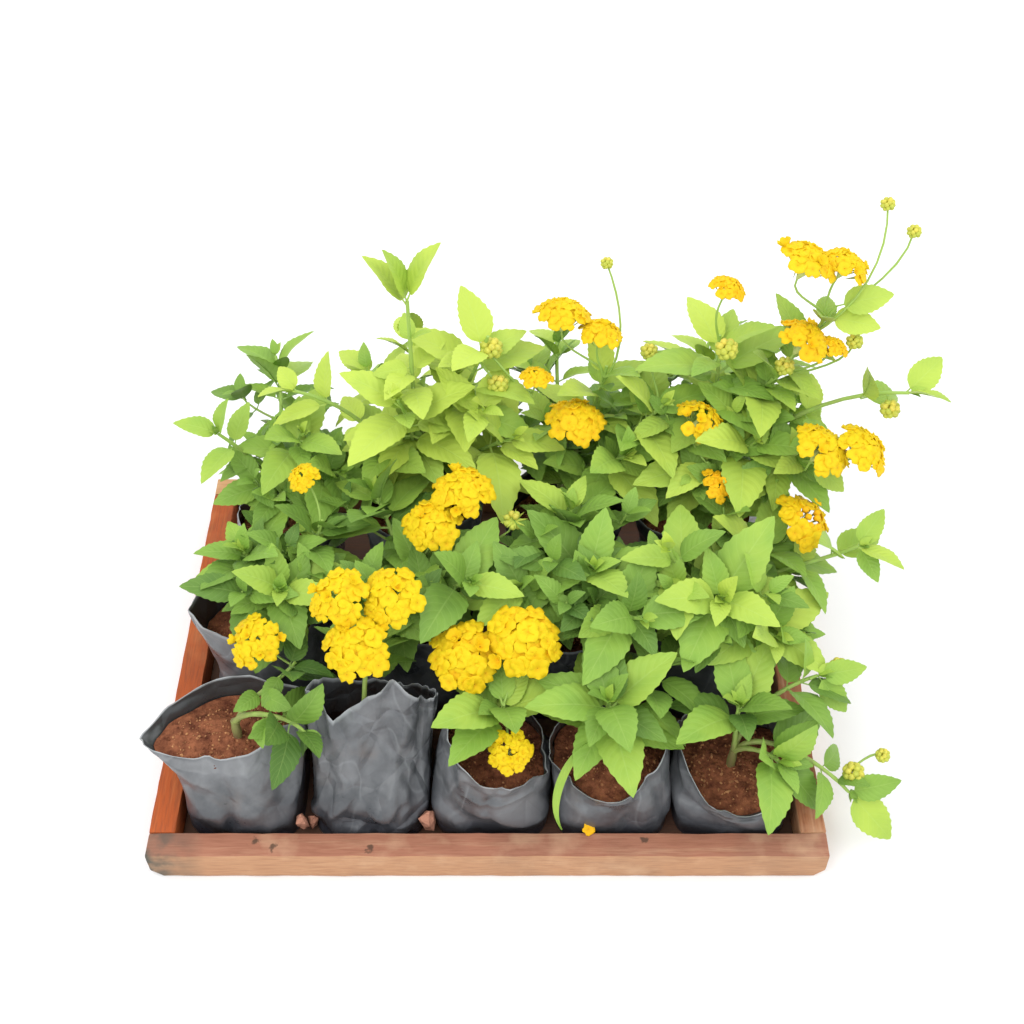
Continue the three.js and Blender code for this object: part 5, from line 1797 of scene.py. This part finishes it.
@dataclass
class Foliage:
    """The leaves of one plant. Extra ones stay clear of what is blocked, and inside a box."""

    name: str
    growth: Growth
    blocked: BVHTree
    box: tuple[Vector, Vector]
    reach: float = 1.5
    margin: float = 2.0

    @staticmethod
    def hides_flower(marks: Sequence[Vector]) -> bool:
        """Tells whether a leaf stands before an open head, on the side that heads are shown from.

        Args:
            marks: Places on the leaf.

        Returns:
            Whether one of them hides part of a head.
        """
        for head in HEADS:
            for mark in marks:
                away = mark - Vector(head.at)
                ahead = away.dot(SHOWN)
                if ahead > 0.0 and (away - SHOWN * ahead).length < 0.52 * head.width + 2.0:
                    return True
        return False

    def is_free(self, leaf: Leaf) -> bool:
        """Tells whether an extra leaf is inside the box, crosses nothing and hides no flower."""
        tip, middle = leaf.tip(), leaf.middle()
        marks = [tip, middle, *(middle + leaf.axes[1] * (s * leaf.length * 0.28) for s in (-1, 1))]
        if self.hides_flower([*marks, tip.lerp(middle, 0.5), leaf.at.lerp(middle, 0.5)]):
            return False
        low, high = self.box
        for mark in marks:
            if any(not low[i] <= mark[i] <= high[i] for i in range(3)):
                return False
            away = mark - leaf.at
            if self.blocked.ray_cast(leaf.at, away.normalized(), away.length + self.margin)[0] is not None:
                return False
            if self.blocked.find_nearest(mark, self.reach)[0] is not None:
                return False
        return True

    def tint(self, leaf: Leaf, index: int, young: float) -> float:
        """Gives a leaf's lightness: its plant's, more when young, and painted light: lighter high up, in
        painted shade deep inside.
        """
        # Painted light: the higher a leaf, the lighter.
        high = smooth(leaf.at.z, 60.0, 260.0)
        return LIGHTNESS[self.name] + 0.2 * high + young + 0.24 * spread(index, int(leaf.length * 10), 21)

    def leaves(self) -> Iterator[tuple[Leaf, float]]:
        """Lists the plant's leaves, each with its lightness."""
        for index, shoot in enumerate(SHOOTS):
            if shoot.plant != self.name:
                continue
            yield from ((item, self.tint(item, index, 0.0)) for item in self.growth.solid_leaves(index))
            between = 2 * len(pairs_between(shoot))
            young = YOUNG.get(shoot.habit, 0.0)
            # Painted shade: the inner pairs are 0.14 darker, and the leaves of the twigs deep inside 0.24.
            for k, item in enumerate(self.growth.extra_leaves(index)):
                if self.is_free(item):
                    yield item, self.tint(item, index, -0.14 if k < between else young)
            for _, inner in self.growth.twigs(index):
                yield from ((item, self.tint(item, index, -0.24)) for item in inner if self.is_free(item))

    def build(self, scatter: Scatter, forms: Collection, leaf: Material) -> None:
        """Makes every leaf of the plant as one piece.

        Args:
            scatter: Sets the leaves out.
            forms: The leaf forms.
            leaf: Their finish.
        """
        plan = Plan()
        droops = [form.droop for form in LEAF_FORMS]
        for item, tint in self.leaves():
            kind = min(range(len(droops)), key=lambda k: abs(droops[k] - item.bend))
            plan.put(item.at, item.axes, item.length, kind, tint)
        piece = scatter.strew("leaves_" + self.name, plan, forms, leaf)
        settle(piece, Slot.LEAF, ["plant_" + self.name])


LEAF_FORMS = tuple(LeafForm(0.26 + 0.03 * k, k) for k in range(6))

# The green head whose leafy bracts are spread like a star.
OPENED = BUDS[3]


@dataclass
class Stems:
    """The trunk, shoots and stalks of one plant, and its closed or spent heads."""

    name: str
    growth: Growth
    shape: Shape = field(default_factory=Shape)
    edges: list[tuple[int, int]] = field(default_factory=list)
    nubs: int = 26

    def line(self, points: Sequence[Vector], thick: Pair, age: Pair) -> None:
        """Adds one stem to the plan.

        Args:
            points: Its course.
            thick: Its radius at its foot and at its end.
            age: How woody it is there.
        """
        last = len(points) - 1
        for i, point in enumerate(points):
            node = 1.0 + 0.12 * (i % 3 == 0)
            number = self.shape.add(point, thick=mix(*thick, i / last) * node, age=mix(*age, i / last))
            if i:
                self.edges.append((number - 1, number))

    def build(self, tubes: Tubes, stem: Material) -> None:
        """Makes the trunk, shoots, stalks and twigs as one piece.

        Args:
            tubes: Gives the lines their thickness.
            stem: Their finish.
        """
        bag = self.growth.bags[self.name]
        foot, top = bag.over_soil(-8.0), bag.over_soil(TRUNK_HEIGHT)
        self.line([foot.lerp(top, k / 5) for k in range(6)], (3.3, 2.4), (1.0, 0.7))
        for index, shoot in enumerate(SHOOTS):
            if shoot.plant == self.name:
                points = self.growth.shoots[index].curve.spaced(14)
                self.line(points[:13] if shoot.habit == "slender" else points, (1.9, 1.05), (0.6, -0.1))
        for stalk in self.growth.stalks:
            if stalk.plant == self.name:
                self.line(stalk.curve.spaced(8), (0.8, 0.65), (0.0, -0.1))
        for index, shoot in enumerate(SHOOTS):
            for twig, _ in self.growth.twigs(index) if shoot.plant == self.name else ():
                self.line(twig.curve.spaced(5), (0.9, 0.6), (0.3, 0.0))
        name = "stems_" + self.name
        plan = self.shape.mesh(name)
        plan.edges.add(len(self.edges))
        plan.edges.foreach_set("vertices", [corner for edge in self.edges for corner in edge])
        piece = tubes.grow(name, plan, Sides=8, Thickness=MM, Finish=stem)
        settle(piece, Slot.LEAF, ["plant_" + self.name])

    def knobs(self, plan: Plan, bud: Bud, key: int) -> None:
        """Sets out the knobs of one closed head round its core.

        Args:
            plan: Where they are added.
            bud: The head.
            key: Its number, for what varies.
        """
        half = bud.width / 2
        if bud == OPENED:
            plan.put(Vector(bud.at), (*square_to(UP), UP), half * 1.3, Kind.STAR.value, 0.1)
        for k in range(0, self.nubs, 3 if bud == OPENED else 1):
            out = Vector(ball(k, self.nubs))
            if out.z < -0.72:
                continue
            axis = out if abs(out.x) < 0.9 else Vector((0.0, out.y, out.z)).normalized()
            at = Vector(bud.at) + Vector((out.x, out.y, out.z * 0.85)) * (half * 0.62)
            tint = 0.2 + 0.5 * max(out.z, 0.0) * chance(key, k, 31)
            plan.put(at, (*square_to(axis), out), half * 0.34, Kind.NUB.value, tint)
        upright = (Vector((1.0, 0.0, 0.0)), Vector((0.0, 1.0, 0.0)), UP)
        plan.put(Vector(bud.at) - UP * (0.1 * half), upright, half * 0.8, Kind.CORE.value, 0.0)

    def bud(self, scatter: Scatter, small: Collection, green: Material) -> None:
        """Makes the plant's closed or spent heads as one piece, where it has any.

        Args:
            scatter: Sets their knobs out.
            small: The small shapes.
            green: Their finish.
        """
        plan = Plan()
        for key, bud in enumerate(BUDS):
            if SHOOTS[bud.shoot].plant == self.name:
                self.knobs(plan, bud, key)
        if plan.kinds:
            piece = scatter.strew("buds_" + self.name, plan, small, green)
            settle(piece, Slot.LEAF, ["plant_" + self.name])


def ball(number: int, count: int) -> Triple:
    """Gives one of many directions spread evenly over a ball."""
    z = 1.0 - 2.0 * (number + 0.5) / count
    across, turn = sqrt(1.0 - z * z), GOLDEN * number
    return across * cos(turn), across * sin(turn), z


# -------- flowers
@dataclass(frozen=True)
class FloretForm:
    """The shape of one floret, its lobes a unit long: how many lobes, how far open, and seed."""

    lobes: int
    openness: float
    seed: int
    around: int = 16
    notch: float = 0.3
    ruffle: float = 0.11
    tube: float = 2.7

    def mesh(self) -> Mesh:
        """Makes the floret: broad ruffled lobes round a small throat, on a slim tube."""
        shape = Shape()

        def ring(out: float, up: float, shade: float, lobed: float = 0.0) -> list[int]:
            """Adds a ring of points, more or less lobed."""
            spots = []
            for k in range(self.around):
                angle = tau * k / self.around
                wave = abs(cos(angle * self.lobes / 2 + self.seed))
                reach = out * (1.0 - lobed * self.notch * (1.0 - wave) ** 1.8)
                curl = lobed * self.ruffle * sin(angle * self.lobes * 1.5 + self.seed * 2.3)
                slope = (1.0 - self.openness) * out * 0.9
                reach *= mix(0.45, 1.0, self.openness) if out > 0.3 else 1.0
                place = Vector((reach * cos(angle), reach * sin(angle), up + curl + slope))
                spots.append(shape.add(place, shade=shade))
            return spots

        rings = [
            [shape.add(Vector((0.0, 0.0, -self.tube)), shade=2.0)],
            ring(0.1, -0.4, 1.3), ring(1.0, -0.08, 0.12, 1.0),
            ring(0.97, 0.0, 0.0, 1.0), ring(0.55, -0.01, 0.08, 0.4), ring(0.13, 0.0, 0.75),
            # The throat's middle point, which the finish darkens as painted shade in the narrow opening.
            [shape.add(Vector((0.0, 0.0, -0.08)), shade=0.97)],
        ]
        shape.skin(rings)
        return shape.mesh("floret", 1.0, 80.0)


@dataclass(frozen=True)
class Knob:
    """A small shape turned round Z, about a unit wide: its name, how many points it has round it, and
    its rings from the foot up, each by its outer and inner radius, height and shade. A ring without
    a radius is one point, and curl says how far the outer points are raised."""

    name: str
    around: int
    rings: tuple[tuple[float, float, float, float], ...]
    curl: float = 0.0

    def mesh(self) -> Mesh:
        """Makes the shape."""
        shape, rings = Shape(), []
        for outer, inner, up, shade in self.rings:
            corners = []
            for k in range(self.around if outer else 1):
                out, angle = (outer, inner)[k % 2], tau * k / self.around
                place = Vector((out * cos(angle), out * sin(angle), up + self.curl * out * out))
                corners.append(shape.add(place, shade=shade))
            rings.append(corners)
        shape.skin(rings)
        return shape.mesh(self.name, 1.0, 80.0)


# The small shapes, in the order of Kind: three open florets, one half open, a closed bud's knob, a
# head's green heart, whose foot is on the stalk, and a star of narrow bracts.
SMALL_SHAPES = (
    FloretForm(4, 1.0, 0), FloretForm(5, 0.92, 1), FloretForm(4, 0.85, 2), FloretForm(4, 0.35, 3),
    Knob("nub", 6, (
        (0.0, 0.0, -0.9, 1.6), (0.6, 0.6, -0.6, 0.9), (0.95, 0.95, 0.25, 0.35), (0.62, 0.62, 0.85, 0.1),
        (0.0, 0.0, 1.05, 0.2),
    )),
    Knob("core", 10, (
        (0.0, 0.0, -0.63, 2.0), (0.05, 0.05, -0.62, 1.9), (0.09, 0.09, -0.52, 1.9),
        (0.16, 0.16, -0.36, 1.9), (0.18, 0.18, -0.2, 1.9), (0.0, 0.0, 0.1, 1.6),
    )),
    Knob("star", 18, (
        (0.0, 0.0, -0.3, 1.6), (0.3, 0.2, -0.16, 1.0), (1.0, 0.3, 0.0, 1.0), (0.9, 0.28, 0.06, 1.0),
        (0.0, 0.0, 0.1, 0.6),
    ), 0.2),
)


@dataclass(frozen=True)
class HeadLook:
    """How one bloom's heads look: how orange, the share of their middle that is still in bud, how
    loose they are, and how ripe those buds are."""

    orange: float = 0.15
    closed: float = 0.0
    loose: float = 0.0
    bud: float = 0.0


LOOKS = {
    "front_left": HeadLook(0.06, 0.16, 0.4, 0.3), "front_trio": HeadLook(0.04, 0.15, 0.25, 0.2),
    "front_pair": HeadLook(0.16), "front_small": HeadLook(0.0, 0.25, 0.2, 0.1),
    "middle_left": HeadLook(0.16, 0.3), "middle_pair": HeadLook(0.1),
    "middle_right": HeadLook(0.22, 0.42, bud=1.0), "back_small": HeadLook(0.3, 0.3, bud=0.3),
    "back_pair": HeadLook(0.25), "back_centre": HeadLook(0.36), "back_peach": HeadLook(0.5, loose=0.5),
    "right_orange": HeadLook(0.42), "right_top": HeadLook(0.2), "right_pair": HeadLook(0.14),
    "right_centre": HeadLook(0.24, 0.3, 0.6), "right_low": HeadLook(0.85, loose=0.9),
}


@dataclass
class Bloom:
    """One open head, or a group of heads that touch."""

    name: str
    smallest: float = 3.8
    share: float = 0.315
    crowd: float = 2.7

    def florets(self, plan: Plan, head: Head, key: int, look: HeadLook) -> None:
        """Spreads the florets of one head over its dome.

        Args:
            plan: Where they are added.
            head: The head.
            key: Its number, for what varies.
            look: How it looks.
        """
        half = head.width / 2
        axis = head_axis(head.at)
        first, second = square_to(axis)
        size = max(self.share * half, self.smallest)
        reach = 1.0 - 0.48 * size / half
        count = max(5, round(self.crowd * (half * (reach + 0.12) / size) ** 2 * (1.0 - 0.35 * look.loose)))
        for k in range(count):
            out = reach * sqrt((k + 0.4) / (count - 0.4)) + 0.03 * spread(key, k, 41)
            turn = GOLDEN * k + key + 0.2 * spread(key, k, 42)
            flat = first * cos(turn) + second * sin(turn)
            up = 0.42 - 0.5 * out * out + 0.03 * spread(key, k, 43)
            sway = Vector((spread(key, k, 44), spread(key, k, 45), 0.0)) * 0.16
            facing = (axis + flat * (1.2 * out) + sway).normalized()
            one, two = square_to(facing)
            spin = tau * chance(key, k, 46)
            cosine, sine = cos(spin), sin(spin)
            one, two = one * cosine + two * sine, two * cosine - one * sine
            at = Vector(head.at) + (flat * out + axis * up) * half
            budding = out < look.closed
            kind = Kind.NUB.value if budding else Kind(int(3 * chance(key, k, 47))).value
            if not budding and chance(key, k, 48) < 0.04 + 0.12 * look.loose:
                kind = Kind.HALF_OPEN.value
            grow = size * (0.42 if budding else 1.0 + 0.12 * spread(key, k, 49))
            tint = look.bud if budding else look.orange + 0.2 * (out - 0.4) + 0.16 * spread(key, k, 50)
            plan.put(at, (one, two, facing), grow, kind, tint)
        plan.put(Vector(head.at), (first, second, axis), half, Kind.CORE.value, 0.0)

    def build(self, scatter: Scatter, small: Collection, petal: Material) -> None:
        """Makes every floret of the bloom as one piece.

        Args:
            scatter: Sets the florets out.
            small: The small shapes.
            petal: Their finish.
        """
        plan = Plan()
        for key, head in enumerate(HEADS):
            if head.bloom == self.name:
                self.florets(plan, head, key, LOOKS[self.name])
        piece = scatter.strew("florets_" + self.name, plan, small, petal)
        settle(piece, Slot.PETAL, ["bloom_" + self.name])


# -------- what lies about
@dataclass
class Litter:
    """Small things that lie in the tray or hang over its edge: a narrow drooping blade, a fallen
    floret, and scraps of bark between the bags."""

    blade: tuple[Triple, ...] = ((61, -118, 90), (48, -128, 92), (34, -142, 62), (45, -148, 40))
    stations: int = 18
    wide: float = 2.8
    thick: float = 0.6
    tint: float = 0.62
    fallen: Triple = (62, -141, 28)
    floret: float = 4.6
    scraps: tuple[tuple[Triple, float], ...] = (
        ((-115, -131, 20), 6.2), ((-36, -131, 21), 8.06), ((-109, -128, 14), 4.96),
    )

    def hang(self, leaf: Material) -> None:
        """Makes the drooping blade."""
        shape, stations, rings = Shape(), self.stations, []
        points = Bend(tuple(Vector(corner) for corner in self.blade)).spaced(stations)

        def put(place: Vector, share: float, column: float, under: float) -> int:
            """Adds a point of the blade."""
            return shape.add(place, (share, 0.5 + 0.5 * column), under=under, tint=self.tint)

        for k, point in enumerate(points):
            share = k / stations
            ahead = (points[min(k + 1, stations)] - points[max(k - 1, 0)]).normalized()
            across = ahead.cross(Vector((0.2, -1.0, 0.5))).normalized()
            face = across.cross(ahead)
            half = self.wide * max(sin(pi * share ** 0.8), 0.08) ** 0.8
            rings.append([
                put(point + across * (half * side) + face * lift, share, side, under)
                for side, lift, under in ((-1, 0.7, 0.0), (0, 0.0, 0.0), (1, 0.7, 0.0), (0, -self.thick, 1.0))
            ])
        ends = [[put(points[k], k / stations, 0.0, 0.5)] for k in (0, -1)]
        shape.skin([ends[0], *rings, ends[1]])
        settle(piece_of("hanging_blade", shape.mesh("hanging_blade"), leaf), Slot.LEAF)

    def build(self, scatter: Scatter, small: Collection, crumbs: Collection,
              paints: Paints) -> None:
        """Makes them all.

        Args:
            scatter: Sets out the floret and the scraps.
            small: The small shapes.
            crumbs: The crumbs.
            paints: The finishes.
        """
        self.hang(paints.leaf)
        floret = Plan()
        facing = Vector((0.3, -0.5, 0.8)).normalized()
        floret.put(Vector(self.fallen), (*square_to(facing), facing), self.floret, Kind.FLORET_B.value, 1.0)
        settle(scatter.strew("fallen_floret", floret, small, paints.petal), Slot.PETAL)
        bark = Plan()
        for k, (place, size) in enumerate(self.scraps):
            along = Vector((0.3 * (k - 1), 0.35, 0.9)).normalized()
            first, second = square_to(Vector((0.2, -0.9, 0.35)).normalized())
            bark.put(Vector(place), (along, first, second), size, SPLINTER, 1.5)
        settle(scatter.strew("bark_scraps", bark, crumbs, paints.peat), Slot.SOIL)


# -------- floor, light and camera
@dataclass
class Studio:
    """A plain pale floor, soft light from above, and the camera. Each lamp is its name, place in
    metres, size and power."""

    lens: float = 49.22
    sensor: float = 36.0
    eye: Triple = (0.015, -0.5734, 0.794)
    pitch: float = 42.2
    floor: float = 4.0
    sky: float = 1.0
    lamps: tuple[tuple[str, Triple, float, float], ...] = (
        ("key", (-0.7, -0.9, 1.7), 1.4, 16.0), ("fill", (1.1, -0.3, 1.3), 1.2, 7.0),
        ("back", (0.2, 1.3, 1.5), 1.2, 6.0),
    )

    def build(self) -> None:
        """Sets the scene round the planting."""
        scene = bpy.context.scene
        scene.view_settings.view_transform = "Standard"
        shape = Shape()
        half = self.floor / 2
        corners = ((-half, -half), (half, -half), (half, half), (-half, half))
        shape.faces.append(tuple(shape.add(Vector((x, y, -0.0004))) for x, y in corners))
        paint = Finish("pale_floor", (0.93, 0.93, 0.93), Roughness=0.9, Specular_IOR_Level=0.1)
        paint.lay(paint.ramp(paint.speckle(3.0), 0.3, 0.7, 0.0, 0.3), (0.9, 0.9, 0.9))
        floor = piece_of("floor", shape.mesh("floor", 1.0), paint.done())
        floor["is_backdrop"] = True
        world = bpy.data.worlds.new("soft_room")
        world.use_nodes = True
        back = world.node_tree.nodes["Background"]
        back.inputs["Color"].default_value = (0.97, 0.985, 1.0, 1.0)
        back.inputs["Strength"].default_value = self.sky
        scene.world = world
        for lamp in self.lamps:
            self.hang_lamp(*lamp)
        camera = bpy.data.objects.new("camera", bpy.data.cameras.new("camera"))
        camera.data.lens = self.lens
        camera.data.sensor_width = self.sensor
        camera.location = self.eye
        camera.rotation_euler = (radians(self.pitch), 0.0, 0.0)
        scene.collection.objects.link(camera)
        scene.camera = camera

    def hang_lamp(self, name: str, place: Triple, size: float, power: float) -> None:
        """Adds a soft square lamp that faces the planting.

        Args:
            name: Its name.
            place: Its place, in metres.
            size: How wide it is.
            power: Its power, in watts.
        """
        data = bpy.data.lights.new(name, "AREA")
        data.size, data.energy = size, power
        lamp = bpy.data.objects.new(name, data)
        lamp.location = place
        lamp.rotation_euler = (Vector((0.0, 0.0, 0.1)) - Vector(place)).to_track_quat("-Z", "Y").to_euler()
        bpy.context.scene.collection.objects.link(lamp)


def main() -> None:
    """Builds the planting, piece by piece."""
    logging.basicConfig(level=logging.INFO, format="%(name)s %(message)s")
    noise.seed_set(GRAIN_SEED)
    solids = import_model()["nodes"]
    solid_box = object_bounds()
    Studio().build()
    paints = Paints()
    scatter, tubes, crumble = Scatter(), Tubes(), Crumble()
    Tray().build()
    crumbs = shelf("crumbs", crumb_shapes())
    for number, bag in enumerate(BAGS):
        film = FilmBag(bag, number)
        film.build(paints.film)
        PeatPlug(film).build(crumble, crumbs, paints.peat)
    forms = shelf("leaf_forms", [form.mesh() for form in LEAF_FORMS])
    small = shelf("small_shapes", [form.mesh() for form in SMALL_SHAPES])
    for name in dict.fromkeys(head.bloom for head in HEADS):
        Bloom(name).build(scatter, small, paints.petal)
    growth = Growth(solids)
    box = solid_box[0] / MM, solid_box[1] / MM + UP * ROOM_ABOVE
    blocked = blockers(solids)
    for bag in BAGS:
        Foliage(bag.name, growth, blocked, box).build(scatter, forms, paints.leaf)
        stems = Stems(bag.name, growth)
        stems.build(tubes, paints.stem)
        stems.bud(scatter, small, paints.bud)
    Litter().build(scatter, small, crumbs, paints)


if __name__ == "__main__":
    main()
